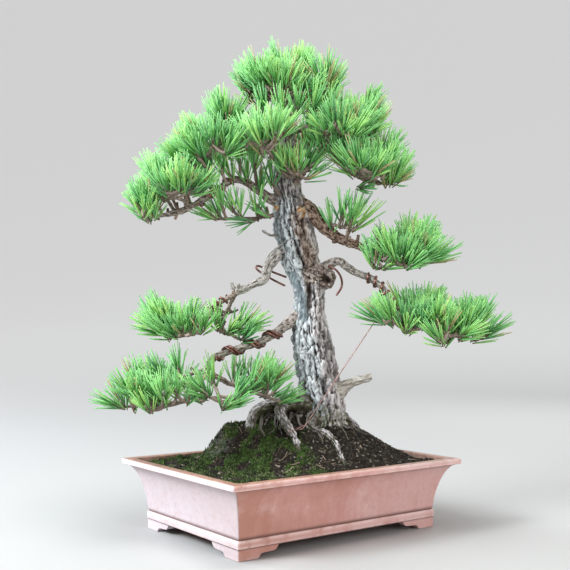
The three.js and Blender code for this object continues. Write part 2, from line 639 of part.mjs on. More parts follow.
// The plan of a spray: a straight stem, pairs of side shoots along it, and a shoot at its end
function planSpray([name, , root, tip, stations], number) {
  const start = seen(...root);
  const end = seen(...tip);
  const way = end.clone().sub(start).normalize();
  const reach = end.distanceTo(start);
  const side = way.clone().cross(UP).normalize();
  const axis = way.clone().multiplyScalar(0.75).addScaledVector(UP, 0.6).normalize();
  const shoots = [{ base: end, axis, seed: 0 }];
  for (let k = 1; k <= stations; k++) {
    const share = 0.8 * (k / stations) - 0.12 * chance(number, k);
    const at = 5 + (reach - 10) * Math.max(share, 0.12);
    for (const hand of [1, -1]) {
      const seed = 2 * k + (hand > 0 ? 0 : 1);
      const spread = Math.min(27, 11 + 0.2 * reach) * (0.75 + 0.4 * chance(number, seed));
      const lift = 0.15 + 0.6 * chance(seed, number);
      const lateral = side.clone().multiplyScalar(hand).addScaledVector(UP, lift).addScaledVector(way, 0.4);
      const from = start.clone().addScaledVector(way, at);
      const base = from.clone().addScaledVector(lateral, spread);
      const tilt = UP.clone().addScaledVector(side, 0.5 * hand).addScaledVector(way, 0.4);
      shoots.push({ from, base, axis: tilt.normalize(), hand, at, seed });
    }
  }
  return { name: `spray_${name}`, number, start, end, way, side, reach, shoots };
}

// The needles of a shoot: two rounds of four and one at the end, each aimed where there is room
function aimNeedles(plan, shoot) {
  const { base, axis, seed, ring } = shoot;
  const needles = new Map();
  const excused = (other) => other.shoot === shoot;
  const centre = base.clone().addScaledVector(axis, BAND);
  const grow = (key, foot, heading, spot) => {
    for (let attempt = 0; attempt < TRIES; attempt++) {
      const mark = plan.number * 61 + seed * 17 + spot;
      const wander = (n) => chance(mark, attempt * 3 + n) - 0.5;
      const length = NEEDLE_LENGTH * (1 + 0.2 * wander(2));
      const tip = foot.clone().addScaledVector(heading(wander), length);
      const start = foot.clone().lerp(tip, 0.05);
      const cone = { a: start, b: tip, atA: NEEDLE_BASE, atB: NEEDLE_END, node: plan.name, shoot };
      if (isClear(cone, excused)) {
        take(cone);
        needles.set(key, tip);
        return;
      }
    }
  };
  for (let round = 0; round < 2; round++) {
    for (let side = 0; side < 4; side++) {
      const out = ring[side].clone().add(ring[(side + 1) % 4]).multiplyScalar(0.5).sub(base);
      const outward = out.clone().addScaledVector(axis, -out.dot(axis)).normalize();
      const across = axis.clone().cross(outward);
      const foot = centre.clone().addScaledVector(axis, BAND * (round - 0.5)).add(out);
      const heading = (wander) => {
        const polar = (round === 0 ? 0.84 : 0.42) + 0.3 * wander(0);
        const turn = 0.7 * wander(1);
        const way = axis.clone().multiplyScalar(Math.cos(polar))
          .addScaledVector(outward, Math.sin(polar) * Math.cos(turn))
          .addScaledVector(across, Math.sin(polar) * Math.sin(turn));
        return way.setZ(Math.max(way.z, LOWEST)).normalize();
      };
      grow(`${round},${side}`, foot, heading, 4 * round + side);
    }
  }
  const top = base.clone().addScaledVector(axis, SHOOT_LENGTH);
  const level = ring[0].clone().sub(base).normalize();
  grow("end", top, (wander) => axis.clone().addScaledVector(level, 0.2 * wander(0)).normalize(), 9);
  return needles;
}

// One closed skin: faces are added ring by ring, and a shoot grows out of one face of the stem
class Skin {
  points = [];
  faces = [];

  add(points) {
    return points.map((point) => this.points.push(point) - 1);
  }

  // A band between two rings of four; a face with a thorn is drawn out to it, an open one left
  band(lower, upper, thornOf = () => null) {
    for (let side = 0; side < 4; side++) {
      const next = (side + 1) % 4;
      const [a, b, c, d] = [lower[side], lower[next], upper[next], upper[side]];
      const thorn = thornOf(side);
      if (thorn === "open") {
        continue;
      }
      if (thorn) {
        const [tip] = this.add([thorn]);
        this.faces.push(a, b, tip, b, c, tip, c, d, tip, d, a, tip);
      } else {
        this.faces.push(a, b, c, a, c, d);
      }
    }
  }

  cap(ring, thorn) {
    const [a, b, c, d] = ring;
    if (thorn) {
      const [tip] = this.add([thorn]);
      this.faces.push(a, b, tip, b, c, tip, c, d, tip, d, a, tip);
    } else {
      this.faces.push(a, b, c, a, c, d);
    }
  }

  // The part of a shoot that carries needles, on from a ring at its base
  crown(lower, shoot, needles) {
    const rings = [1, 2].map((step) =>
      this.add(shoot.ring.map((p) => p.clone().addScaledVector(shoot.axis, BAND * step))),
    );
    this.band(lower, rings[0], (side) => needles.get(`0,${side}`));
    this.band(rings[0], rings[1], (side) => needles.get(`1,${side}`));
    this.cap(rings[1], needles.get("end"));
  }

  geometry() {
    const geometry = new THREE.BufferGeometry();
    const numbers = this.points.flatMap((p) => p.toArray());
    geometry.setAttribute("position", new THREE.Float32BufferAttribute(numbers, 3));
    geometry.setIndex(this.faces);
    return geometry;
  }
}

// The stem's corners lie up, down and to both sides turned by 45 degrees, so its faces look
// up, down, left and right
function stemRing(plan, at, radius = STEM_RADIUS) {
  const centre = plan.start.clone().addScaledVector(plan.way, at);
  const up = plan.side.clone().cross(plan.way);
  return squareRing(centre, plan.way, plan.side.clone().add(up), radius);
}

// The face of the stem that a side shoot of this hand grows from
function faceOf(plan, hand, ring) {
  const centre = ring.reduce((sum, p) => sum.add(p), new THREE.Vector3()).divideScalar(4);
  const facing = [0, 1, 2, 3].map((side) =>
    ring[side].clone().add(ring[(side + 1) % 4]).multiplyScalar(0.5).sub(centre).dot(plan.side) * hand,
  );
  return facing.indexOf(Math.max(...facing));
}

function layOut(plan) {
  const [last] = plan.shoots;
  last.ring = squareRing(last.base, last.axis, stemRing(plan, plan.reach)[0].sub(plan.end), SHOOT_RADIUS);
  take({ a: plan.start, b: plan.end, atA: STEM_RADIUS, atB: STEM_RADIUS, node: plan.name, stem: plan });
}

function addShoot(plan, shoot) {
  if (shoot.from) {
    const near = stemRing(plan, shoot.at - STATION / 2);
    const face = faceOf(plan, shoot.hand, near);
    const far = stemRing(plan, shoot.at + STATION / 2);
    const next = (face + 1) % 4;
    const middle = near[face].clone().add(far[next]).multiplyScalar(0.5);
    shoot.face = face;
    shoot.ring = squareRing(shoot.base, shoot.axis, near[face].clone().sub(middle), SHOOT_RADIUS);
    const twig = { a: middle, b: shoot.base, atA: STEM_RADIUS, atB: SHOOT_RADIUS, node: plan.name, shoot };
    if (!isClear(twig, (other) => other.stem === plan || other.shoot?.at === shoot.at)) {
      return false;
    }
    take(twig);
  }
  const top = shoot.base.clone().addScaledVector(shoot.axis, SHOOT_LENGTH);
  take({ a: shoot.base, b: top, atA: SHOOT_RADIUS, atB: SHOOT_RADIUS, node: plan.name, shoot });
  return true;
}

function sprayGeometry(plan) {
  const skin = new Skin();
  const [last, ...sideShoots] = plan.shoots;
  const stations = [...new Set(sideShoots.map((shoot) => shoot.at))].sort((a, b) => a - b);
  let ring = skin.add(stemRing(plan, GAP));
  skin.cap([...ring].reverse());
  for (const at of stations) {
    const near = skin.add(stemRing(plan, at - STATION / 2));
    const far = skin.add(stemRing(plan, at + STATION / 2));
    const grown = sideShoots.filter((shoot) => shoot.at === at);
    skin.band(ring, near);
    skin.band(near, far, (side) => (grown.some((shoot) => shoot.face === side) ? "open" : null));
    for (const shoot of grown) {
      const next = (shoot.face + 1) % 4;
      const foot = [near[shoot.face], near[next], far[next], far[shoot.face]];
      const base = skin.add(shoot.ring);
      skin.band(foot, base);
      skin.crown(base, shoot, aimNeedles(plan, shoot));
    }
    ring = far;
  }
  const base = skin.add(last.ring);
  skin.band(ring, base);
  skin.crown(base, last, aimNeedles(plan, last));
  return skin.geometry();
}

const WOOD_ROOM = 1.17; // how far the wood's relief stands out, as a share of its radius

function reserveWood() {
  for (const points of [TRUNK, ...ROOTS, ...BRANCHES, ...TWIGS]) {
    const frames = limbFrames(points, 2 * points.length);
    for (let i = 0; i + 1 < frames.length; i++) {
      const [one, two] = [frames[i], frames[i + 1]];
      const [atA, atB] = [one, two].map((frame) => WOOD_ROOM * frame.radius);
      take({ a: one.centre, b: two.centre, atA, atB, node: "pine_wood" });
    }
  }
}

// The whole object

const COLOURS = {
  clay: { color: 0xc98a7b, roughness: 0.75 },
  earth: { color: 0x3d3226, roughness: 1 },
  bark: { color: 0x8d8078, roughness: 0.95 },
  needle: { color: 0x4fae3c, roughness: 0.5 },
  copper: { color: 0x7a3d2a, roughness: 0.5, metalness: 0.7 },
  net: { color: 0x1d1d1d, roughness: 0.7 },
};

const tree = new THREE.Group();

function place(name, geometry, finish) {
  const mesh = new THREE.Mesh(geometry, new THREE.MeshStandardMaterial(COLOURS[finish]));
  mesh.name = name;
  tree.add(mesh);
  return mesh;
}

place("pot", geometryOf(potSolid()), "clay");
place("soil", geometryOf(soilSolid()), "earth");
for (const [name, way] of [["drain_screen_left", -1], ["drain_screen_right", 1]]) {
  place(name, geometryOf(screenSolid()), "net").position.set(way * HOLE.x, 0, FLOOR_TOP + GAP);
}
place("pine_wood", geometryOf(woodSolid()), "bark");
reserveWood();

for (const [name, points] of Object.entries(WIRES)) {
  const radius = name.startsWith("wire_lower_left") ? THICK_WIRE_RADIUS : WIRE_RADIUS;
  place(name, geometryOf(wireSolid(points, radius)), "copper");
  takeLine(points, radius, name);
}
place("guy_wire", geometryOf(wireSolid(GUY_WIRE, GUY_RADIUS)), "copper");
takeLine(GUY_WIRE, GUY_RADIUS, "guy_wire");

const plans = SPRAYS.map(planSpray);
plans.forEach(layOut);
for (const plan of plans) {
  plan.shoots = plan.shoots.filter((shoot) => addShoot(plan, shoot));
}
for (const plan of plans) {
  place(plan.name, sprayGeometry(plan), "needle");
}

// The origin is the middle of the foot of the whole object's bounding box
const box = new THREE.Box3().setFromObject(tree);
const centre = box.getCenter(new THREE.Vector3());
tree.position.set(-centre.x, -centre.y, -box.min.z);

const bonsai = new THREE.Group();
bonsai.add(tree);

export default bonsai;
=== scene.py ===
"""A Japanese black pine bonsai in a terracotta pot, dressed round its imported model.

Shapes are worked out in millimetres with numpy. The tree is given as seen from its front (x right,
y away, z up from the pot's foot), and seen() turns it into the pot's frame.
"""

import math

import bpy
import numpy as np
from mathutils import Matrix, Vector


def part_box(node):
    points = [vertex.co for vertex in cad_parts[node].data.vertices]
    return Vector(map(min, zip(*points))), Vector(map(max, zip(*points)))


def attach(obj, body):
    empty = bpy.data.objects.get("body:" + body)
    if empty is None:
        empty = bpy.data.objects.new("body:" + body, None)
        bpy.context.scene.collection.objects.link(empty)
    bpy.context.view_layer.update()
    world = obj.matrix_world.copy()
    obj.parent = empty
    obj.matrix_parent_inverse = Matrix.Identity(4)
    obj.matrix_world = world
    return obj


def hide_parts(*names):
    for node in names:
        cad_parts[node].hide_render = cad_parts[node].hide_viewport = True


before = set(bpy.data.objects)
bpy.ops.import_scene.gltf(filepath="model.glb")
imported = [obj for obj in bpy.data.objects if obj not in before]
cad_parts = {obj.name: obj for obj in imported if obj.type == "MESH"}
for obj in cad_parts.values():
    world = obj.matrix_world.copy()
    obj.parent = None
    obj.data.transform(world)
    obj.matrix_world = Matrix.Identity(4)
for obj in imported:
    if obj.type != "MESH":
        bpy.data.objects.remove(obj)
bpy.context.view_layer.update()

MM = 0.001
UP = np.array([0.0, 0.0, 1.0])
TURN = 2 * math.pi
STEEP = 0.8  # a line that rises more than this takes its first side from x
FRONT_TURN = math.radians(-36.5)  # the tree's front, from the pot's
pot_low, pot_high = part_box("pot")
SHIFT = np.array([(pot_low[0] + pot_high[0]) / 2, (pot_low[1] + pot_high[1]) / 2, 0.0]) / MM

# Driving dimensions of the pot: lengths and widths are halves, from the pot's middle
POT = dict(length=185, width=141, height=92.5, rim=6.9, rim_width=15, wall=9)
FOOT = dict(length=159.3, width=111.2, height=13.1, thickness=11)
BELT = dict(length=160.1, width=112.7, top=23.7)
WALL_TOP = (182, 138)
WALL_FOOT = (158.5, 111)
FLOOR_EDGE = (149, 101.5)
HALF_FLOOR = np.array([76, 103.5])
FLOOR_TOP = 24
HOLE_RADIUS = 12
HOLE_X = 80
FOOT_CORNER = 2.2
# The feet's stepped arch: height, and how far an arm reaches from the corner there
ARCH = [
    (0, 27.2), (0.8, 28), (1.6, 29.2), (2.6, 30), (3.8, 30.8), (5, 32), (5.8, 33.6), (6.1, 36), (6.3, 44),
    (6.6, 50), (7.2, 52.6), (8.2, 54.2), (9.6, 55.4), (11.2, 56.6), (13.2, 58),
]
CORNERS = np.array([[1, 1], [-1, 1], [-1, -1], [1, -1]])
RUN = 0.35  # the share of a corner's points that lies along the straight side before or after it

# The soil, half its length and width, and the wires
BED = np.array([POT["length"], POT["width"]]) - POT["rim_width"]
SOIL_EDGE = 88
SOIL_FOOT = FLOOR_TOP + 1.8
MOUND = 48
LEFT_HUMP = 45
WIRE_RADIUS = 1.5
THICK_WIRE_RADIUS = 1.75
GUY_RADIUS = 0.7


def turned(points, angle):
    """Points turned about the upright axis."""
    p = np.asarray(points, float)
    c, s = math.cos(angle), math.sin(angle)
    return np.stack([p[..., 0] * c - p[..., 1] * s, p[..., 0] * s + p[..., 1] * c, p[..., 2]], -1)


def seen(points):
    """Points given as seen from the tree's front, turned into the pot's frame."""
    return turned(points, FRONT_TURN)


def seen_back(points):
    """Points of the pot's frame, as seen from the tree's front."""
    return turned(points, -FRONT_TURN)


def seen_plan(x, y):
    """Places in the pot's plan, as seen from the tree's front: how far right, and how far back."""
    spot = seen_back(np.stack([x, y, 0 * x], -1))
    return spot[..., 0], spot[..., 1]


def unit(v):
    """Vectors made one long."""
    return v / np.linalg.norm(v, axis=-1, keepdims=True)


def smoothstep(low, high, x):
    """0 at low, 1 at high, and an S-shaped rise between."""
    t = np.clip((x - low) / (high - low), 0, 1)
    return t * t * (3 - 2 * t)


def mix(a, b, share):
    """What lies a share of the way from a to b."""
    return a + (b - a) * share


# Repeatable chance and noise


def fraction(wave):
    """What follows the point in a sine scaled up, which jumps about as chance does."""
    scaled = np.sin(wave) * 43758.5453
    return scaled - np.floor(scaled)


def chance(a, b=0):
    """A repeatable number from 0 to 1 for each pair of whole numbers."""
    return fraction(np.asarray(a) * 12.9898 + np.asarray(b) * 78.233 + 4.137)


def lattice(i, j, seed):
    """A repeatable number from 0 to 1 at each point of a whole-number grid."""
    return fraction(i * 127.1 + j * 311.7 + seed * 74.7)


def noise(u, v, seed=0, period=0):
    """Smooth noise from -1 to 1: chance at the grid's corners, blended. It repeats along u by period."""
    i, j = np.floor(u), np.floor(v)
    s, t = smoothstep(0, 1, u - i), smoothstep(0, 1, v - j)
    left, right = (np.mod(k, period) if period else k for k in (i, i + 1))
    near = mix(lattice(left, j, seed), lattice(right, j, seed), s)
    far = mix(lattice(left, j + 1, seed), lattice(right, j + 1, seed), s)
    return 2 * mix(near, far, t) - 1


def layered(u, v, seed=0, period=0, layers=3):
    """Noise with finer and fainter layers on it."""
    return sum(noise(u * 2**k, v * 2**k, seed + k, period * 2**k) / 2**k for k in range(layers)) / 1.6


def plates(u, v, seed=0, period=0):
    """Cells round scattered points: 0 on the line between two cells and rising inwards, then each cell's
    chance, and its face's tilt, a slope of the cell's own across its point."""
    i, j = np.floor(u), np.floor(v)
    first = np.full(u.shape, 9.0)
    second = first.copy()
    tone, right, down = np.zeros((3, *u.shape))
    for di in (-1, 0, 1):
        for dj in (-1, 0, 1):
            a = np.mod(i + di, period) if period else i + di
            b = j + dj
            x = u - (i + di + 0.15 + 0.7 * lattice(a, b, seed))
            y = v - (b + 0.15 + 0.7 * lattice(a, b, seed + 5))
            far = np.hypot(x, y)
            nearer = far < first
            second = np.where(nearer, first, np.minimum(second, far))
            tone = np.where(nearer, lattice(a, b, seed + 9), tone)
            right, down = np.where(nearer, x, right), np.where(nearer, y, down)
            first = np.where(nearer, far, first)
    tilt = (tone * 37 % 1 - 0.5) * right + (tone * 71 % 1 - 0.3) * down
    return second - first, tone, tilt


# Meshes


def put(name, data, at=(0, 0, 0)):
    """A new object in the scene."""
    made = bpy.data.objects.new(name, data)
    made.location = at
    bpy.context.collection.objects.link(made)
    return made


class Form:
    """Grids and swarms of small shapes, gathered into one mesh with numbers marked on its points."""

    def __init__(self):
        self.points, self.quads, self.triangles, self.marks, self.count = [], [], [], {}, 0

    def add(self, points, quads, triangles, **marks):
        """Copies of one small shape: points is (copies, points, 3), and the faces count within one
        copy."""
        copies, size = points.shape[:2]
        base = self.count + size * np.arange(copies)[:, None, None]
        self.points.append(points.reshape(-1, 3))
        self.quads.append((base + quads[None]).reshape(-1, 4))
        self.triangles.append((base + triangles[None]).reshape(-1, 3))
        for name, value in marks.items():
            whole = np.broadcast_to(value, (copies, size)).reshape(-1)
            self.marks.setdefault(name, []).append((self.count, whole))
        self.count += copies * size

    def tubes(self, rings, **marks):
        """Tubes of rings, (tubes, rings, sides, 3), closed at both ends by a fan to the middle of the end
        ring."""
        tubes, count, sides = rings.shape[:3]
        ends = np.stack([rings[:, 0].mean(1), rings[:, -1].mean(1)], 1)
        whole = np.concatenate([rings.reshape(tubes, count * sides, 3), ends], 1)
        spread = {}
        for name, value in marks.items():
            value = np.broadcast_to(value, (tubes, count, sides))
            middles = np.stack([value[:, 0].mean(1), value[:, -1].mean(1)], 1)
            spread[name] = np.concatenate([value.reshape(tubes, -1), middles], 1)
        self.add(whole, *tube_faces(count, sides), **spread)

    def wall(self, rings, **marks):
        """A wall round an opening: rings, (rings, sides, 3), whose last ring joins the first."""
        count, sides = rings.shape[:2]
        first, last = np.arange(sides), (count - 1) * sides + np.arange(sides)
        quads = np.concatenate([tube_faces(count, sides)[0], joined(last, first)])
        marks = {name: np.reshape(value, (1, -1)) for name, value in marks.items()}
        self.add(rings.reshape(1, -1, 3), quads, np.zeros((0, 3), int), **marks)

    def piece(self, name, finish, slot, *nodes, flat=False, crisp=0):
        """The mesh as a piece of the scene, which stands for the nodes named. It is shaded flat or
        smooth, with edges sharper than crisp degrees kept crisp."""
        mesh = bpy.data.meshes.new(name)
        points, quads, triangles = map(np.concatenate, (self.points, self.quads, self.triangles))
        mesh.vertices.add(len(points))
        mesh.vertices.foreach_set("co", ((points + SHIFT) * MM).ravel())
        mesh.loops.add(quads.size + triangles.size)
        mesh.loops.foreach_set("vertex_index", np.concatenate([quads.ravel(), triangles.ravel()]))
        mesh.polygons.add(len(quads) + len(triangles))
        starts = np.concatenate([4 * np.arange(len(quads)), quads.size + 3 * np.arange(len(triangles))])
        mesh.polygons.foreach_set("loop_start", starts)
        mesh.polygons.foreach_set("use_smooth", np.full(len(starts), not flat))
        for mark, parts in self.marks.items():
            values = np.zeros(len(points))
            for start, part in parts:
                values[start : start + len(part)] = part
            mesh.attributes.new(mark, "FLOAT", "POINT").data.foreach_set("value", values)
        mesh.update(calc_edges=True)
        if crisp:
            mesh.set_sharp_from_angle(angle=math.radians(crisp))
        mesh.materials.append(finish)
        made = put(name, mesh)
        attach(made, "root")
        if nodes:
            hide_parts(*nodes)


def joined(lower, upper):
    """Quads between two closed rings of point numbers."""
    return np.stack([lower, np.roll(lower, -1), np.roll(upper, -1), upper], -1)


def tube_faces(rings, sides):
    """The faces of a closed tube: quads round its rings, and a fan at each end to the two points after
    the rings."""
    side = np.arange(sides)
    rows = np.arange(rings - 1)[:, None] * sides + side
    quads = np.concatenate([joined(row, row + sides) for row in rows])
    following = np.roll(side, -1)
    last = (rings - 1) * sides
    near = np.stack([np.full(sides, rings * sides), following, side], -1)
    far = np.stack([np.full(sides, rings * sides + 1), last + side, last + following], -1)
    return quads, np.concatenate([near, far])


def smooth_line(points, u):
    """A smooth line through points at the shares u: cubic pieces whose slope at a point joins its
    neighbours."""
    p = np.vstack([2 * points[0] - points[1], points, 2 * points[-1] - points[-2]])
    place = np.asarray(u) * (len(points) - 1)
    k = np.minimum(place.astype(int), len(points) - 2)
    t = (place - k)[:, None]
    a, b, c, d = p[k], p[k + 1], p[k + 2], p[k + 3]
    leave, reach = (c - a) / 2, (d - b) / 2
    return b + t * leave + t**2 * (3 * (c - b) - 2 * leave - reach) + t**3 * (2 * (b - c) + leave + reach)


def carried(along):
    """A frame carried along a line untwisted: at each step the last side, made square to the line
    again."""
    side = np.array([1.0, 0, 0]) if abs(along[0, 2]) > STEEP else UP
    sides = []
    for way in along:
        side = unit(side - way * side.dot(way))
        sides.append(side)
    return np.array(sides), np.cross(along, sides)


def rings_round(centre, side, other, angle, radius):
    """Rings of points round lines: at each angle between side and other, out from the centre by the
    radius."""
    out = np.cos(angle)[:, None] * side[..., None, :] + np.sin(angle)[:, None] * other[..., None, :]
    return centre[..., None, :] + out * radius[..., None]


def round_angles(sides):
    """The angles of a ring's points."""
    return TURN * np.arange(sides) / sides


class Limb:
    """A line through points [x, y, z, radius] seen from the front, with a frame carried along it."""

    def __init__(self, points, steps):
        points = np.asarray(points, float)
        self.u = np.linspace(0, 1, steps + 1)
        self.centre = smooth_line(seen(points), self.u)
        self.radius = np.interp(self.u * (len(points) - 1), np.arange(len(points)), points[:, 3])
        self.along = unit(np.gradient(self.centre, axis=0))
        self.length = np.concatenate([[0], np.cumsum(np.linalg.norm(np.diff(self.centre, axis=0), axis=1))])
        self.side, self.other = carried(self.along)

    def at(self, share, values):
        """Vectors given along the line, read at shares of it."""
        return np.stack([np.interp(share, self.u, column) for column in values.T], -1)

    def out(self, share, angle):
        """The way out from the line, at shares of it and angles round it."""
        side, other = self.at(share, self.side), self.at(share, self.other)
        return np.cos(angle)[:, None] * side + np.sin(angle)[:, None] * other


def paths(points, radius, sides):
    """Tubes along many short lines at once: points is (tubes, rings, 3), radius is (tubes, rings)."""
    along = unit(np.gradient(points, axis=1))
    pole = np.where(np.abs(along[:, :1, 2:]) > STEEP, [1.0, 0, 0], UP)
    side = unit(np.cross(np.broadcast_to(pole, along.shape), along))
    return rings_round(points, side, np.cross(along, side), round_angles(sides), radius[..., None])


def path_carried(line, radius, sides):
    """A round tube along one long line, its frame carried along, with its end rings narrower."""
    side, other = carried(unit(np.gradient(line, axis=0)))
    taper = np.full(len(line), radius)
    taper[0] = taper[-1] = radius * 0.6
    return rings_round(line, side, other, round_angles(sides), taper[:, None])[None]


def scaly(line, radius, sides, seed):
    """Tubes whose rings swell and sink by turns, as shoots do where needles have fallen."""
    mark = np.arange(line.shape[1])[None] * 13 + np.arange(len(line))[:, None] * 29
    return paths(line, radius * (0.86 + 0.36 * chance(mark, seed)), sides)


# Materials


class Shade:
    """A number or colour in a material. The signs of arithmetic on a number add Math nodes."""

    def __init__(self, finish, socket):
        self.finish, self.socket = finish, socket

    def math(self, operation, a, b):
        return self.finish.node("ShaderNodeMath", dict(operation=operation), {0: a, 1: b})

    def __add__(self, other):
        return self.math("ADD", self, other)

    def __sub__(self, other):
        return self.math("SUBTRACT", self, other)

    def __rsub__(self, other):
        return self.math("SUBTRACT", other, self)

    def __mul__(self, other):
        return self.math("MULTIPLY", self, other)

    __radd__ = __add__
    __rmul__ = __mul__

    def rise(self, low, high):
        """0 at low, 1 at high, and an S-shaped rise between."""
        settings = dict(interpolation_type="SMOOTHSTEP")
        return self.finish.node("ShaderNodeMapRange", settings, {"Value": self, 1: low, 2: high})


class Finish:
    """A material for one kind of surface, driven by patterns on object coordinates and marks on the
    mesh."""

    def __init__(self, name, **sockets):
        self.material = bpy.data.materials.new(name)
        self.material.use_nodes = True
        self.tree = self.material.node_tree
        self.shader = self.tree.nodes["Principled BSDF"]
        self.place = self.node("ShaderNodeTexCoord", {}, {}, "Object")
        self.set(**sockets)

    def node(self, kind, settings, sockets, output=0):
        """Adds a node with its settings, then its sockets' values or links, and gives its output."""
        made = self.tree.nodes.new(kind)
        for name, value in settings.items():
            if name == "stops":
                self.put_stops(made.color_ramp, value)
            else:
                setattr(made, name, value)
        for name, value in sockets.items():
            self.join(made.inputs[name], value)
        return Shade(self, made.outputs[output])

    def put_stops(self, ramp, stops):
        """Gives a colour ramp its stops, each a position and a colour."""
        while len(ramp.elements) < len(stops):
            ramp.elements.new(1.0)
        for element, (position, colour) in zip(ramp.elements, stops):
            element.position = position
            element.color = (*colour, 1)

    def join(self, socket, value):
        """Links a socket to a shade, or sets its value; a colour gets its alpha."""
        if isinstance(value, Shade):
            self.tree.links.new(value.socket, socket)
        elif isinstance(value, tuple) and socket.type == "RGBA":
            socket.default_value = (*value, 1)
        else:
            socket.default_value = value

    def set(self, **sockets):
        """Sets or links the shader's own sockets, each by its name with _ for a space."""
        for name, value in sockets.items():
            self.join(self.shader.inputs[name.replace("_", " ")], value)

    def mark(self, name):
        """A number marked on the mesh."""
        return self.node("ShaderNodeAttribute", dict(attribute_name=name), {}, "Fac")

    def stretched(self, scale):
        """The place, scaled along each axis."""
        return self.node("ShaderNodeMapping", {}, {"Vector": self.place, "Scale": scale})

    def noise(self, scale, detail=3.0, rough=0.55, place=None):
        """Cloudy noise from 0 to 1."""
        sockets = {"Vector": place or self.place, "Scale": scale, "Detail": detail, "Roughness": rough}
        return self.node("ShaderNodeTexNoise", {}, sockets)

    def cells(self, scale, place=None, output="Distance"):
        """Cells round scattered points: the distance from the nearest point, or a colour for each
        cell."""
        sockets = {"Vector": place or self.place, "Scale": scale}
        return self.node("ShaderNodeTexVoronoi", {}, sockets, output)

    def ramp(self, value, *stops):
        """A colour read by a value from 0 to 1 between stops."""
        return self.node("ShaderNodeValToRGB", dict(stops=stops), {0: value})

    def blend(self, share, a, b):
        """Mixes two colours by a share."""
        return self.node("ShaderNodeMix", dict(data_type="RGBA"), {0: share, 6: a, 7: b}, 2)

    def bump(self, height, distance, strength):
        """Raises the surface by a height from 0 to 1 times a distance in millimetres."""
        sockets = {"Height": height, "Distance": distance * MM, "Strength": strength}
        self.set(Normal=self.node("ShaderNodeBump", {}, sockets))


def clay():
    """Unglazed clay, pinkish: pale efflorescence in clouds, faint upright streaks, a few dark specks and a
    tan top to the rim, with painted shade in the grooves and corners and a painted pale bluish sheen on the
    left face."""
    f = Finish("clay", Specular_IOR_Level=0.5)
    broad = f.noise(7, 4)
    streaks = f.noise(50, 4, 0.6, f.stretched((1.4, 1.4, 0.16)))
    mottle = f.noise(170, 4, 0.6)
    specks = f.cells(120).rise(0.1, 0.03)
    across = f.node("ShaderNodeSeparateXYZ", {}, {0: f.place}).rise(-0.2, 0.2)
    body = f.ramp(
        broad * 0.72 + streaks * 0.28 + across * 0.2 - 0.09,
        (0.34, (0.44, 0.2, 0.15)),
        (0.5, (0.56, 0.285, 0.25)),
        (0.66, (0.64, 0.38, 0.36)),
    )
    bloom_and_sheen = f.blend(f.noise(24, 5, 0.65).rise(0.5, 0.76) * 0.4, body, (0.76, 0.56, 0.54))
    # painted sheen: the left face is paled towards a cool bluish white, as if lit by cool light from the
    # left
    bloom_and_sheen = f.blend(f.mark("left") * (broad * 0.3 + 0.4), bloom_and_sheen, (0.6, 0.66, 0.74))
    mottled = f.blend(mottle.rise(0.45, 0.7) * 0.22, bloom_and_sheen, (0.42, 0.2, 0.165))
    worn = f.blend(f.mark("edge") * f.noise(60, 3).rise(0.25, 0.6) * 0.6, mottled, (0.84, 0.66, 0.64))
    # painted shade: the grooves, the corners, the underside and the pot's inside are darkened where shade
    # falls
    groove_shaded = f.blend(f.mark("groove") * 0.85, worn, (0.13, 0.065, 0.052))
    tan = f.ramp(f.noise(90, 4), (0.35, (0.17, 0.09, 0.055)), (0.65, (0.36, 0.2, 0.14)))
    topped = f.blend(f.mark("top") * 0.85, groove_shaded, tan)
    f.set(Base_Color=f.blend(specks * 0.6, topped, (0.13, 0.065, 0.05)), Roughness=mottle * 0.2 + 0.42)
    f.bump(mottle * 0.6 + streaks * 0.3 - specks * 0.6, 0.4, 0.5)
    return f.material


def earth():
    """Damp granular soil: dark brown crumbs with grey and tan ones, and green where moss thins out."""
    f = Finish("soil", Specular_IOR_Level=0.2)
    crumbs = f.cells(420, output="Color")
    tone = f.node("ShaderNodeSeparateColor", {}, {0: crumbs})
    colour = f.ramp(
        tone,
        (0.0, (0.008, 0.006, 0.005)),
        (0.5, (0.015, 0.012, 0.009)),
        (0.8, (0.03, 0.024, 0.018)),
        (0.95, (0.07, 0.056, 0.042)),
        (1.0, (0.24, 0.22, 0.19)),
    )
    moss = f.mark("moss")
    green = f.ramp(f.noise(300, 3), (0.35, (0.012, 0.02, 0.005)), (0.65, (0.05, 0.095, 0.018)))
    colour = f.blend((moss + f.noise(60, 4) - 0.5).rise(0.35, 0.75), colour, green)
    lichen = f.mark("lichen") * f.noise(120, 4).rise(0.42, 0.6)
    colour = f.blend(lichen * 0.8, colour, (0.19, 0.195, 0.18))
    f.set(Base_Color=colour, Roughness=0.95)
    f.bump(f.cells(420) + f.noise(900, 2) * 0.4, 1.2, 0.9)
    return f.material


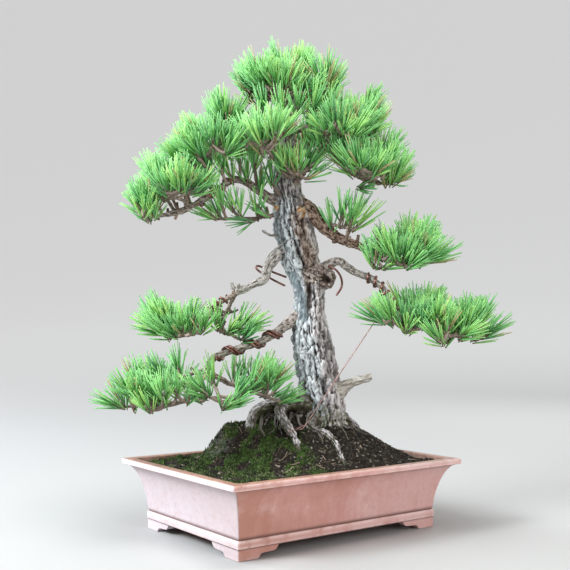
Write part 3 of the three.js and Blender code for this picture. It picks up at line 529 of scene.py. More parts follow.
def bark():
    """Old pine bark: grey plates over dark cracks, which are partly painted shade. On the trunk its blue
    side
    and its mauve side are painted light: the left coloured as lit by cool light, the right as in shade.
    """
    f = Finish("old_bark", Specular_IOR_Level=0.25)
    fibres = f.noise(330, 4, 0.65, f.stretched((1, 1, 0.22)))
    flakes = f.cells(240, f.stretched((1, 1, 0.35)))
    plate = f.mark("plate")
    tone = f.mark("tone")
    grey = tone * 0.8 + fibres * 0.4
    cool = f.ramp(
        grey,
        (0.2, (0.06, 0.064, 0.068)),
        (0.5, (0.24, 0.256, 0.27)),
        (0.8, (0.62, 0.66, 0.69)),
    )
    warm = f.ramp(
        grey,
        (0.2, (0.06, 0.046, 0.043)),
        (0.5, (0.22, 0.193, 0.19)),
        (0.8, (0.6, 0.56, 0.565)),
    )
    brown = f.ramp(
        grey,
        (0.2, (0.045, 0.026, 0.018)),
        (0.5, (0.165, 0.108, 0.078)),
        (0.8, (0.45, 0.35, 0.28)),
    )
    # on the trunk the warm mark follows its sides: the cool ramp is painted light on the left, the mauve
    # one painted shade on the right
    face = f.blend(f.mark("warm") - 1, f.blend(f.mark("warm"), cool, warm), brown)
    strip = f.ramp(fibres, (0.35, (0.13, 0.16, 0.175)), (0.6, (0.34, 0.4, 0.43)))
    blue = f.blend(f.mark("strip"), face, strip)
    cut = f.ramp(
        fibres * 0.5 + f.noise(260, 3) * 0.5,
        (0.4, (0.25, 0.1, 0.04)),
        (0.48, (0.5, 0.29, 0.13)),
        (0.58, (0.75, 0.62, 0.45)),
    )
    scarred = f.blend(f.mark("scar"), blue, cut)
    # the crack colour fills what lies low: partly the cracks' own colour, partly painted shade
    crack = f.ramp(fibres, (0.3, (0.016, 0.012, 0.01)), (0.7, (0.085, 0.06, 0.048)))
    colour = f.blend(plate.rise(0.05, 0.8), crack, scarred)
    mossy = f.blend(f.mark("moss") * f.noise(220, 4).rise(0.42, 0.58), colour, (0.06, 0.1, 0.015))
    f.set(Base_Color=mossy, Roughness=0.9)
    f.bump(fibres * 0.7 + flakes * 0.5, 0.9, 0.8)
    return f.material


def young_bark():
    """Scaly bark of branches and shoots: reddish brown scales with grey edges."""
    f = Finish("young_bark", Specular_IOR_Level=0.25)
    scales = f.cells(420)
    fibres = f.noise(420, 4, 0.65)
    shade = f.mark("tone") * 0.6 + fibres * 0.6
    red = f.ramp(
        shade,
        (0.25, (0.035, 0.019, 0.013)),
        (0.5, (0.125, 0.075, 0.055)),
        (0.8, (0.36, 0.26, 0.205)),
    )
    grey = f.ramp(
        shade,
        (0.25, (0.11, 0.095, 0.085)),
        (0.5, (0.3, 0.275, 0.255)),
        (0.8, (0.56, 0.54, 0.52)),
    )
    face = f.blend(f.mark("warm"), grey, red)
    crack = f.blend(f.mark("warm"), (0.115, 0.1, 0.09), (0.035, 0.02, 0.014))
    # low places take the dark crack colour, partly as painted shade
    colour = f.blend(f.mark("plate").rise(0.0, 0.7), crack, face)
    f.set(Base_Color=colour, Roughness=0.85)
    f.bump(scales * 0.8 + fibres * 0.6, 0.7, 0.9)
    return f.material


def dead_wood():
    """Bare dead wood, bleached cream and grey along its grain."""
    f = Finish("dead_wood", Specular_IOR_Level=0.3)
    grain = f.noise(260, 4, 0.6, f.stretched((0.3, 0.3, 1)))
    colour = f.ramp(
        grain,
        (0.3, (0.14, 0.12, 0.1)),
        (0.48, (0.4, 0.365, 0.32)),
        (0.7, (0.7, 0.68, 0.64)),
    )
    # painted shade: darker brown where the wood lies lower than its surroundings
    colour = f.blend(f.mark("plate").rise(0.5, 0.0), colour, (0.12, 0.08, 0.05))
    f.set(Base_Color=colour, Roughness=0.75)
    f.bump(grain, 0.6, 0.7)
    return f.material


def needle_green():
    """Pine needles: green that differs from needle to needle, brown at the sheath, paler at the tip."""
    f = Finish("needle_green", Roughness=0.5, Specular_IOR_Level=0.35)
    tone = f.mark("tone")
    along = f.mark("along")
    leaf = f.ramp(
        tone,
        (0.0, (0.05, 0.2, 0.085)),
        (0.3, (0.105, 0.38, 0.12)),
        (0.6, (0.2, 0.53, 0.145)),
        (0.92, (0.4, 0.68, 0.17)),
        (0.97, (0.38, 0.27, 0.14)),
    )
    lit = f.blend(along * 0.3, leaf, (0.32, 0.58, 0.22))
    sheath = f.blend(along.rise(0.11, 0.05), lit, (0.2, 0.12, 0.075))
    f.set(Base_Color=sheath)
    return f.material


def copper(name, dull, red, rubbed):
    """Annealed copper wire: dull, reddish and rubbed places in clouds."""
    f = Finish(name, Metallic=0.85)
    patina = f.noise(150, 4)
    colour = f.ramp(patina, (0.3, dull), (0.5, red), (0.75, rubbed))
    f.set(Base_Color=colour, Roughness=patina * 0.3 + 0.25)
    f.bump(f.noise(800, 2), 0.1, 0.3)
    return f.material


def net():
    """The drain nets' black plastic, faintly mottled."""
    f = Finish("drain_net", Roughness=0.55)
    f.set(Base_Color=f.ramp(f.noise(300), (0.3, (0.008, 0.008, 0.008)), (0.7, (0.02, 0.02, 0.02))))
    return f.material


def moss():
    """Moss: bright yellow green at the tips, dark below, with browned patches."""
    f = Finish("moss", Roughness=0.8, Specular_IOR_Level=0.2)
    tone = f.mark("tone")
    tip = f.mark("along")
    fresh = f.ramp(
        tone,
        (0.0, (0.018, 0.024, 0.01)),
        (0.4, (0.042, 0.07, 0.02)),
        (0.8, (0.11, 0.18, 0.045)),
        (1.0, (0.3, 0.34, 0.17)),
    )
    f.set(Base_Color=f.blend(tip, (0.01, 0.014, 0.004), fresh))
    return f.material


def grains():
    """Loose grains: pumice, fired clay and lava, with dust on them."""
    f = Finish("soil_grains", Roughness=0.9, Specular_IOR_Level=0.2)
    colour = f.ramp(
        f.mark("tone"),
        (0.0, (0.01, 0.008, 0.006)),
        (0.6, (0.028, 0.02, 0.015)),
        (0.88, (0.065, 0.048, 0.035)),
        (0.985, (0.13, 0.1, 0.08)),
        (1.0, (0.45, 0.43, 0.4)),
    )
    f.set(Base_Color=colour)
    f.bump(f.noise(1500, 2), 0.3, 0.6)
    return f.material


def straw():
    """Fallen needles and husks, tan to grey."""
    f = Finish("litter", Roughness=0.7, Specular_IOR_Level=0.3)
    colour = f.ramp(
        f.mark("tone"),
        (0.0, (0.05, 0.03, 0.02)),
        (0.6, (0.13, 0.088, 0.062)),
        (1.0, (0.38, 0.31, 0.24)),
    )
    f.set(Base_Color=colour)
    return f.material


CLAY = clay()
EARTH = earth()
BARK = bark()
YOUNG_BARK = young_bark()
DEAD_WOOD = dead_wood()
NEEDLE = needle_green()
COPPER = copper("copper_wire", (0.09, 0.04, 0.033), (0.21, 0.088, 0.07), (0.44, 0.25, 0.215))
PALE_COPPER = copper("pale_copper_wire", (0.24, 0.13, 0.115), (0.42, 0.26, 0.235), (0.64, 0.47, 0.44))
NET = net()
MOSS = moss()
GRAIN = grains()
STRAW = straw()

# The pot


def rounded(length, width, corner, count):
    """Points round a rectangle whose corners are arcs of radius corner, count to each quarter: a run
    along one side, the arc, and a run along the next side."""
    angle = TURN * (np.arange(4 * count) + 0.5) / (4 * count)
    quarter = np.arange(4 * count) // count
    share = (angle - quarter * TURN / 4) / (TURN / 4)
    bend = (quarter + smoothstep(RUN, 1 - RUN, share)) * TURN / 4
    way = np.stack([np.cos(bend), np.sin(bend)], -1)
    middle = CORNERS[quarter] * np.array([length - corner, width - corner])
    run = np.clip(np.stack([share, 1 - share], -1) / RUN, 0, 1)
    odd = (quarter % 2 == 1)[:, None]
    return middle * np.where(odd, run, run[:, ::-1]) + corner * way


def flare(t):
    """How far the wall leans out at a height share t: a little straight, and most of it as an arc bends
    outwards."""
    return 0.22 * t + 0.78 * (1 - math.sqrt(max(0, 1 - t * t)))


def wall(t):
    """The wall's half length and half width at a height share t."""
    return [mix(foot, top, flare(t)) for foot, top in zip(WALL_FOOT, WALL_TOP)]


def wall_height(t):
    """The height of a share t of the wall, from the belt to the rim."""
    return mix(BELT["top"] + 0.3, POT["height"] - POT["rim"], t)


def line_of(outline, inset, height, corner, edge=0.0, groove=0.0, top=0.0):
    """A line of the pot's section: half length and width, height, corner radius, and its marks for wear,
    painted shade in the grooves and the rim's tan top."""
    return (outline[0] - inset, outline[1] - inset, height, corner, edge, groove, top)


def pot_profile():
    """The pot's section from the middle of its underside, out, up, over the rim, and down inside to its
    floor."""
    low, belt_top, rim, top = FOOT["height"], BELT["top"], POT["height"] - POT["rim"], POT["height"]
    belt, edge, inner = (BELT["length"], BELT["width"]), (POT["length"], POT["width"]), POT["rim_width"]
    lines = [
        line_of((150, 102), 0, low, 3, groove=1),
        line_of(belt, 1.7, low, 3, groove=1),
        line_of(belt, 1.3, low + 0.9, 3, groove=1),
        line_of(belt, 0.3, low + 1, 3, edge=0.7, groove=0.3),
        line_of(belt, 0, low + 1.6, 3.4, edge=1),
        line_of(belt, 0, belt_top - 5.2, 3.4, edge=0.2),
        line_of(belt, 0, belt_top - 1.1, 3.4, edge=1),
        line_of(belt, 0.5, belt_top - 0.2, 3.2, edge=0.8),
        line_of(WALL_FOOT, 0.3, belt_top, 3, groove=1),
        line_of(WALL_FOOT, 0.4, belt_top + 1.2, 3, groove=1),
    ]
    for t in np.linspace(0.03, 1, 26):
        # painted shade where the wall meets the belt and under the rim's overhang
        wall_shade = max(0, 1 - t * 14) + 0.5 * smoothstep(0.93, 1, t)
        lines.append(line_of(wall(t), 0, wall_height(t), 2.4, groove=wall_shade))
    lines += [
        line_of(edge, 0.8, rim + 0.05, 3.6, edge=0.3, groove=0.3),
        line_of(edge, 0, rim + 0.8, 4, edge=1),
        line_of(edge, 0, rim + 3, 4, edge=0.25),
        line_of(edge, 0, top - 1.2, 4, edge=1),
        line_of(edge, 0.4, top - 0.4, 3.8, edge=1, top=0.1),
        line_of(edge, 1.3, top, 3.4, edge=0.6, top=0.7),
        line_of(edge, 6, top, 5, top=1),
        line_of(edge, inner - 1.2, top, 7, edge=0.2, top=1),
        line_of(edge, inner - 0.2, top - 0.6, 7, edge=0.4, top=1),
        line_of(edge, inner, top - 2, 7, groove=0.5, top=1),
    ]
    for t in np.linspace(0.97, 0.05, 12):
        half = [min(side - POT["wall"], end - inner) for side, end in zip(wall(t), edge)]
        lines.append(line_of(half, 0, wall_height(t), 7, groove=0.5, top=1))
    lines.append(line_of(FLOOR_EDGE, 0, FLOOR_TOP + 1.5, 7, top=1))
    lines.append(line_of(FLOOR_EDGE, 3, FLOOR_TOP, 7, top=1))
    return lines


def past_corner(points, length, width):
    """How much nearer a point lies to the line of a short side than to that of a long side, from the
    pot's inside."""
    return (width - np.abs(points[..., 1])) - (length - np.abs(points[..., 0]))


def left_face_sheen(points, past):
    """The mark of the pot's left side, which ends crisply at the corner: the face where the pale bluish
    sheen is painted.
    """
    return smoothstep(-1.2, 1.2, past) * (points[..., 0] < 0)


def build_pot():
    """The wall is the section carried round a rounded rectangle, with slabs round the drain holes for a
    floor and four angle-shaped feet. The grooves and the corners get painted shade."""
    form = Form()
    rings, edge, groove, top, left = [], [], [], [], []
    for length, width, height, corner, worn, crevice_shade, tan in pot_profile():
        plan = rounded(length, width, corner, 40)
        level = np.ones(len(plan))
        past = past_corner(plan, length, width)
        rings.append(np.column_stack([plan, height * level]))
        edge.append(worn * level)
        # painted shade: a thin dark line down each corner of the wall
        groove.append(np.maximum(crevice_shade, 0.4 * np.exp(-((past / 0.7) ** 2)) * (1 - tan)))
        top.append(tan * level)
        # the left mark carries the painted sheen on the left face, not on the rim's top
        left.append(left_face_sheen(plan, past) * (1 - tan))
    rings = np.array(rings)
    x, y, z = np.moveaxis(rings, -1, 0)
    wobble = 0.3 * layered(x / 40 + y / 47, z / 30, 3) * (z > FOOT["height"] + 1)
    out = unit(rings * [1, 1, 0] + [1e-6, 0, 0])
    form.wall(rings + out * wobble[..., None], edge=edge, groove=groove, top=top, left=left)
    add_floor(form)
    for sx in (1, -1):
        for sy in (1, -1):
            add_foot(form, sx, sy)
    form.piece("pot_body", CLAY, "clay", "pot", crisp=35)


def add_floor(form):
    """The floor in two halves: a slab whose inner ring is the drain hole and whose outer ring is half the
    floor, a circle pushed out to a square."""
    sides = 64
    angle = TURN * (np.arange(sides) + 0.5) / sides
    circle = np.stack([np.cos(angle), np.sin(angle)], -1)
    square = circle / np.abs(circle).max(-1, keepdims=True)
    low, high = FOOT["height"] + 0.02, FLOOR_TOP - 0.02
    for way in (1, -1):
        hole = [way * HOLE_X, 0] + HOLE_RADIUS * circle
        slab = [way * HALF_FLOOR[0], 0] + square * HALF_FLOOR
        stack = [(hole, low), (slab, low), (slab, high), (hole, high)]
        rings = np.array([np.column_stack([plan, np.full(sides, z)]) for plan, z in stack])
        level = np.zeros(rings.shape[:2])
        # the floor inside gets painted shade as well
        form.wall(rings, edge=level, groove=level + 0.5, top=level, left=level)


def add_foot(form, sx, sy):
    """An angle-shaped foot: its two arms grow longer with height in a stepped arch. Its caps are fans
    round the bend of the angle, so that they stay inside it."""
    length, width, thick = FOOT["length"], FOOT["width"], FOOT["thickness"]
    rings = []
    for height, arm in ARCH:
        inset = 0.8 if height == 0 else 0
        corner = [
            [FOOT_CORNER * (1 - math.cos(a)) + inset, FOOT_CORNER * (1 - math.sin(a)) + inset]
            for a in np.linspace(0, TURN / 4, 5)
        ]
        outline = [
            [inset, arm], *corner, [arm, inset], [arm, thick - inset],
            [thick + 2, thick - inset], [thick - inset, thick + 2], [thick - inset, arm],
        ]
        rings.append([(sx * (length - a), sy * (width - b), height) for a, b in outline])
    rings = np.array(rings)
    if sx * sy > 0:
        rings = rings[:, ::-1]
    ends = [[sx * (length - thick + 2), sy * (width - thick + 2), height] for height in (0, ARCH[-1][0])]
    points = np.vstack([rings.reshape(-1, 3), ends])[None]
    heights = points[..., 2]
    worn = 0.8 * np.exp(-heights / 2)
    # painted shade at the top of each foot, under the belt
    crevice_shade = 0.5 * smoothstep(11.8, 13.2, heights)
    # the feet's left sides get the painted sheen too
    left = left_face_sheen(points, past_corner(points, length, width))
    form.add(points, *tube_faces(len(ARCH), rings.shape[1]), edge=worn, groove=crevice_shade, top=0.0, left=left)


def build_nets():
    """The net over each drain hole: thin bars both ways, the lengthwise ones on top."""
    half, thin, bottom = 19, 0.6, FLOOR_TOP + 0.35
    for side, middle in (("left", -HOLE_X), ("right", HOLE_X)):
        rings = []
        for at in np.linspace(-18.4, 18.4, 12):
            bars = [
                ([middle + at, 0], [thin, half], bottom + 0.45, 0.45),
                ([middle, at], [half, thin], bottom + 0.75, 0.44),
            ]
            for centre, size, height, thick in bars:
                plan = np.array(centre) + CORNERS * size
                rings.append([np.column_stack([plan, np.full(4, height + end * thick)]) for end in (-1, 1)])
        form = Form()
        form.tubes(np.array(rings))
        form.piece(f"drain_net_{side}", NET, "net", f"drain_screen_{side}", flat=True)


# The wood, each limb as points [x, y, z, radius] seen from the front

TRUNK = [
    [42, 10, 100, 36], [42, 10, 120, 36], [41, 10, 140, 32], [41, 10, 160, 30], [40, 10, 182, 29],
    [36, 9, 212, 27.5], [32, 8, 240, 26.5], [27, 6, 267, 24], [25, 5, 295, 19.5], [24, 5, 322, 20.5],
    [20, 6, 345, 22.5], [13, 8, 364, 26], [9, 9, 385, 26], [3, 10, 413, 26], [0, 10, 438, 23],
    [-4, 10, 455, 18], [-8, 10, 477, 16], [-10, 12, 496, 12.5], [-8, 14, 520, 10], [-1, 14, 548, 7.5],
    [1, 11, 575, 5], [1, 9, 600, 2.6],
]
ROOTS = [
    [[30, 4, 166, 14], [6, -8, 169, 10.5], [-14, -13, 167, 8.5], [-32, -18, 165, 7.5], [-45, -23, 160, 7],
     [-52, -26, 149, 7], [-55, -28, 134, 6.5], [-57, -30, 116, 5.5]],
    [[24, -4, 168, 13], [2, -18, 167, 8], [-15, -30, 161.5, 6.5], [-11, -44, 149, 6], [-3, -55, 138, 5.6],
     [5, -62, 124, 4.6], [9, -70, 113, 3.6], [13, -79, 102, 2.4], [17, -88, 91, 1.6]],
    [[44, -8, 148, 13], [27, -27, 142, 7.5], [27, -42, 137, 5.2], [40, -50, 133, 4.4], [50, -56, 128, 4],
     [57, -62, 118.5, 3.6], [62, -71, 107, 3.2], [66, -80, 98, 2.6], [70, -90, 87, 1.8]],
    [[56, 8, 138, 12], [74, 10, 126, 8], [90, 10, 116, 6.5], [106, 6, 107, 5.5], [122, 2, 95, 4]],
    [[40, 30, 152, 13], [36, 56, 140, 9], [30, 82, 124, 7], [26, 104, 104, 5]],
    [[58, 24, 152, 12], [84, 46, 134, 8], [106, 62, 110, 5]],
]
ROOT_MASS = [[34, 8, 148, 24], [10, 2, 142, 21], [-14, -3, 136, 17], [-32, -8, 122, 12], [-40, -10, 104, 8]]
LOWER_LEFT = [
    [12, 6, 287, 9], [-4, 0, 276, 8], [-21, -8, 263, 6], [-40, -12, 252, 5], [-63, -14, 244, 4.8],
    [-86, -16, 237, 4.6], [-104, -20, 229, 4.4], [-113, -24, 216, 4.2], [-120, -27, 200, 3.8],
    [-133, -31, 179, 3], [-151, -36, 171, 2.2],
]
MID_LEFT = [
    [6, 10, 388, 11], [-10, 5, 378, 9.5], [-24, 1, 366, 8], [-33, -3, 350, 7], [-37, -5, 337, 6],
    [-50, -6, 330, 5], [-63, -7, 324, 5], [-76, -8, 319, 5.5],
]
MID_LEFT_UPPER = [
    [-74, -8, 320, 4.5], [-83, -10, 312, 3.6], [-96, -13, 305, 3.4], [-106, -16, 297, 3.4],
    [-113, -18, 283, 3], [-121, -21, 269, 2.8], [-144, -26, 262, 2.2],
]
RIGHT_LOWER = [
    [24, 10, 340, 12], [47, 4, 353, 8], [64, 0, 362, 6.5], [77, -4, 353, 5.5], [88, -6, 346, 4.8],
    [103, -8, 340, 4.8], [116, -10, 332, 4.6], [127, -12, 321, 4.2], [130, -14, 308, 3.8],
    [137, -16, 291, 3.4], [150, -18, 279, 3.2], [181, -20, 270, 2.8], [206, -24, 265, 2.2],
]
CROWN_LEFT = [
    [-12, 10, 446, 9], [-29, 4, 450, 7], [-46, -4, 460, 6], [-62, -10, 470, 5.2], [-80, -16, 472, 4.8],
    [-97, -20, 460, 4.6], [-116, -24, 446, 4.6], [-137, -26, 433, 4.2], [-159, -26, 425, 4],
    [-186, -24, 420, 2.2],
]
CROWN_STUB = [[0, 2, 466, 6], [14, -12, 478, 4], [24, -20, 492, 3.4]]
DEAD_STUB = [
    [46, 8, 172, 15], [62, 5, 181, 12], [75, 3, 190, 8], [88, 1, 197, 6], [100, -1, 200, 5.2],
    [110, -2, 203, 4.2],
]
KNOT = [[22, 8, 342, 20], [38, 3, 340, 18], [50, 0, 336, 15], [58, -2, 332, 9]]
OLD_BRANCHES = [
    MID_LEFT,
    [[-76, -8, 319, 3.4], [-80, -9, 326, 2.8], [-81, -10, 332, 2]],
    [[-71, -8, 320, 4.4], [-73, -12, 329, 3.4]],
    [[-10, 8, 404, 3], [-26, 4, 398, 2], [-40, 0, 404, 1.4]],
]
BRANCHES = [
    LOWER_LEFT,
    MID_LEFT_UPPER,
    [[-74, -8, 320, 4], [-81, -2, 308, 3], [-88, 4, 293, 2.8], [-96, 10, 278, 2.6], [-92, 8, 262, 2.2]],
    RIGHT_LOWER,
    [[4, 10, 440, 16], [26, 2, 430, 13], [40, -4, 415, 9.5], [56, -8, 399, 7.5], [74, -10, 389, 6.5],
     [92, -10, 382, 5.5], [108, -10, 374, 5], [127, -10, 364, 4], [148, -12, 360, 3],
     [166, -14, 361, 2.2]],
    CROWN_LEFT,
    [[-2, 10, 480, 10], [17, 4, 492, 8], [34, -2, 508, 7], [48, -6, 519, 6], [59, -8, 514, 6],
     [70, -10, 499, 6], [88, -12, 482, 5.5], [108, -14, 472, 4.6], [124, -16, 467, 2.2]],
    [[-8, 14, 518, 7], [-32, 8, 518, 5], [-68, 0, 513, 4], [-97, -4, 509, 3.4], [-128, -8, 502, 2.2]],
    [[-1, 14, 548, 6], [28, 10, 549, 5], [58, 6, 544, 4], [88, 0, 539, 2.2]],
    [[-9, 10, 494, 7], [-15, -20, 492, 4], [-25, -58, 496, 2.2]],
    [[-8, 12, 500, 7], [-1, 45, 519, 4.5], [11, 88, 538, 2.2]],
    [[-8, 14, 520, 6], [-42, 45, 526, 4], [-82, 80, 533, 2.2]],
    [[-6, 14, 518, 6], [31, 45, 534, 4.2], [73, 76, 540, 2.2]],
    CROWN_STUB,
    [[-14, 8, 430, 4], [-30, 4, 425, 2.8], [-48, -2, 421, 2.2]],
]

# How warm and how rough the bark of some of the branches is, by their place in the list
BRANCH_LOOK = {0: (0.45, 0.9), 3: (0.35, 0.9), 4: (1.0, 1.3), 5: (0.6, 1.0), 6: (0.9, 1.3), 7: (0.9, 1.3)}
PLAIN_LOOK = (0.75, 1.0)
# The share of some branches' length that bears no twigs, and the share on the others
BARE = {0: 0.75, 1: 0.7, 3: 0.68, 5: 0.74}
PLAIN_BARE = 0.4

# The sprays: name, where its twig leaves a branch (none where the branch ends at it), root, tip, pairs
SPRAYS = [
    ["lower_left_tip", None, [-151, -36, 171], [-226, -44, 165], 3],
    ["lower_left_back", [-120, -27, 199], [-144, 4, 190], [-212, 44, 174], 2],
    ["lower_left_front", [-125, -28, 190], [-138, -60, 174], [-178, -96, 165], 2],
    ["lower_left_top", [-114, -24, 214], [-134, -28, 208], [-168, -12, 198], 1],
    ["lower_left_near_front", [-116, -25, 209], [-98, -58, 190], [-86, -90, 168], 2],
    ["lower_left_near", [-114, -24, 213], [-74, -44, 193], [-14, -56, 173], 2],
    ["lower_left_near_back", [-115, -25, 211], [-88, 8, 193], [-42, 48, 177], 2],
    ["mid_left_tip", None, [-144, -26, 262], [-176, -34, 262], 2],
    ["mid_left_front", [-116, -19, 273], [-128, -50, 261], [-158, -82, 257], 2],
    ["mid_left_back", [-116, -19, 276], [-137, 14, 268], [-180, 44, 267], 2],
    ["mid_left_near", None, [-92, 8, 262], [-86, -4, 262], 1],
    ["right_lower_tip", None, [206, -24, 265], [258, -34, 258], 3],
    ["right_lower_front", [168, -19, 273], [188, -54, 264], [216, -86, 257], 2],
    ["right_lower_back", [170, -19, 273], [204, 16, 273], [248, 48, 270], 2],
    ["right_lower_near_front", [141, -16, 287], [150, -44, 276], [148, -74, 264], 2],
    ["right_lower_near_back", [146, -17, 283], [168, 14, 286], [184, 46, 287], 2],
    ["right_upper_tip", None, [166, -14, 361], [188, -22, 359], 2],
    ["right_upper_front", [130, -10, 364], [142, -42, 353], [152, -74, 346], 2],
    ["right_upper_back", [132, -10, 363], [152, 20, 374], [178, 50, 382], 2],
    ["right_upper_low", [107, -10, 374], [116, -30, 358], [124, -48, 347], 1],
    ["right_upper_near", [48, -7, 406], [52, -18, 411], [84, -24, 403], 2],
    ["crown_left_tip", None, [-186, -24, 420], [-203, -28, 426], 2],
    ["crown_left_mid", [-157, -26, 426], [-164, -26, 437], [-178, -30, 458], 2],
    ["crown_left_front", [-140, -26, 432], [-142, -50, 438], [-160, -78, 442], 2],
    ["crown_left_back", [-142, -26, 431], [-148, 8, 456], [-176, 40, 472], 2],
    ["crown_side_tip", None, [-128, -8, 502], [-150, -13, 498], 2],
    ["crown_side_front", [-94, -4, 509], [-101, -34, 500], [-122, -62, 494], 2],
    ["crown_side_back", [-92, -4, 509], [-104, 28, 524], [-126, 58, 534], 2],
    ["crown_side_top", [-68, 0, 513], [-76, -2, 530], [-100, -6, 554], 2],
    ["crown_top_left", [-1, 13, 560], [-26, 6, 572], [-58, -4, 598], 3],
    ["crown_top_front", [0, 12, 568], [-8, -16, 570], [-22, -44, 592], 2],
    ["crown_top", None, [1, 9, 600], [2, 4, 622], 2],
    ["crown_top_back", [0, 12, 566], [4, 44, 582], [8, 74, 602], 2],
    ["crown_top_right", [26, 10, 549], [38, 4, 568], [56, 0, 598], 2],
    ["crown_right_tip", None, [88, 0, 539], [110, -6, 542], 2],
    ["crown_right_front", [55, 7, 544], [64, -26, 530], [80, -56, 522], 2],
    ["crown_right_back", [56, 6, 544], [70, 38, 560], [88, 68, 574], 2],
    ["crown_right_low", None, [124, -16, 467], [140, -22, 472], 1],
    ["crown_right_low_front", [90, -12, 481], [93, -40, 472], [106, -66, 470], 2],
    ["crown_right_low_back", [90, -12, 481], [100, 20, 497], [120, 48, 510], 2],
    ["crown_front", None, [-25, -58, 496], [-40, -80, 508], 2],
    ["crown_front_low", [-10, 0, 478], [-2, -28, 474], [8, -54, 475], 2],
    ["crown_low_left", None, [-48, -2, 421], [-104, -17, 418], 2],
    ["crown_back", None, [11, 88, 538], [16, 106, 546], 1],
    ["crown_back_left", None, [-82, 80, 533], [-96, 94, 545], 2],
    ["crown_back_right", None, [73, 76, 540], [90, 92, 548], 2],
]


# Places on the trunk's front, as x, z: a pale stripped line, a long hollow between it and the knot, brown
# shaggy bark, the hollow at its foot, and healed cuts with their radius
STRIP = [[1, 342], [7, 330], [14, 313], [17, 298], [17, 282]]
RECESS = [[20, 352], [25, 335], [26, 318], [24, 300]]
SHAGGY = [[11, 428], [14, 402], [22, 374], [27, 352]]
FOOT_HOLLOW = [6, 152]
SCARS = [[-20, 436, 5], [13, 431, 6], [15, 424, 4.5], [30, 336, 4]]
# Hollows in the knot's front, as x, z, radius and depth
KNOT_HOLLOWS = [[46, 336, 10, 9], [34, 345, 5, 4]]


def near_line(x, z, line):
    """How far each place is from a broken line."""
    best = np.full(x.shape, 1e9)
    for (x0, z0), (x1, z1) in zip(line, line[1:]):
        dx, dz = x1 - x0, z1 - z0
        t = np.clip(((x - x0) * dx + (z - z0) * dz) / (dx * dx + dz * dz), 0, 1)
        best = np.minimum(best, np.hypot(x - x0 - t * dx, z - z0 - t * dz))
    return best


def stroke(x, z, line, reach, core, ragged):
    """1 within core of a broken line and 0 beyond reach of it. ragged is an uneven distance that is
    added."""
    return smoothstep(reach, core, near_line(x, z, line) + ragged)


AROUND = (5, 3)  # how far along and round a limb a place's surroundings reach
FLARE_TOP = 190  # the height below which the trunk widens


def softened(field, rows, columns):
    """A field on a tube averaged over nearby places: over rows along it, and over columns round it."""
    out = sum(np.roll(field, k, 1) for k in range(-columns, columns + 1)) / (2 * columns + 1)
    edge = np.pad(out, ((rows + 1, rows), (0, 0)), mode="edge").cumsum(0)
    return (edge[2 * rows + 1 :] - edge[: -2 * rows - 1]) / (2 * rows + 1)


def old_surface(limb, sides, plate, deep, seed, shape, valley=0.0):
    """Bark in ragged plates: scattered cells stretched along the limb, each with a lift and a tilt of its
    own, parted by gaps and by long wandering fissures, with smaller flakes and a fine roughness on them.
    What lies lower than its surroundings is marked as a crack and takes the dark crack colour, partly as
    painted shade; its tone is painted darker there and lighter where the bark stands higher. plate is a
    plate's width and length, and deep the bark's depth; the weights below are shares of it. Gives the rings
    and their marks."""
    angle = round_angles(sides)
    girth = TURN * np.median(limb.radius)
    around = max(4, int(round(girth / plate[0])))
    u = np.broadcast_to(angle / TURN * around, (len(limb.u), sides))
    v = np.broadcast_to(limb.length[:, None] / plate[1], u.shape)
    bend_u = 0.36 * layered(u * 2, v * 2, seed, around * 2, 4)
    bend_v = 0.3 * layered(u * 2, v * 2, seed + 3, around * 2, 4)
    gap, tone, tilt = plates(u + bend_u, v + bend_v, seed, around)
    flakes_u, flakes_v = 2 * u + 1.2 * bend_u, 2.1 * v + 1.3 * bend_v
    flake_gap, flake_tone, flake_tilt = plates(flakes_u, flakes_v, seed + 20, around * 2)
    gap_width = 0.1 + 0.3 * smoothstep(-0.5, 0.8, layered(u, v * 1.3, seed + 30, around))
    crack = smoothstep(0, 1, gap / gap_width)
    fissure = smoothstep(0, 0.36, np.abs(layered(u + 0.6 * bend_u, v * 0.5, seed + 41, around)))
    chip = smoothstep(0, 0.17, flake_gap)
    fine = layered(u * 6, v * 6, seed + 7, around * 6, 4)
    grain = layered(u * 3, v * 2.2, seed + 12, around * 3)
    lift = crack * (0.25 + 0.55 * tone + 1.1 * tilt) + 0.8 * fissure
    lift = lift + 0.4 * chip * (0.2 + flake_tone + 1.6 * flake_tilt) + (0.26 * fine + 0.3 * grain)
    height = deep * (lift - 1.3) - valley
    radius = limb.radius[:, None] * shape + height
    rings = rings_round(limb.centre, limb.side, limb.other, angle, radius)
    step = limb.length[-1] / (len(limb.u) - 1)
    rows, columns = max(1, int(AROUND[0] / step)), max(1, int(AROUND[1] / (girth / sides)))
    cavity = (height - softened(height, rows, columns)) / deep
    # painted shade: the tone falls where the bark lies lower than its surroundings and rises where it
    # stands higher
    tone = 0.22 * tone + 0.26 * flake_tone + 0.26 + 0.26 * fine + 0.3 * grain + 0.4 * cavity
    return rings, dict(plate=smoothstep(-0.62, 0.02, cavity), tone=np.clip(tone, 0, 1))


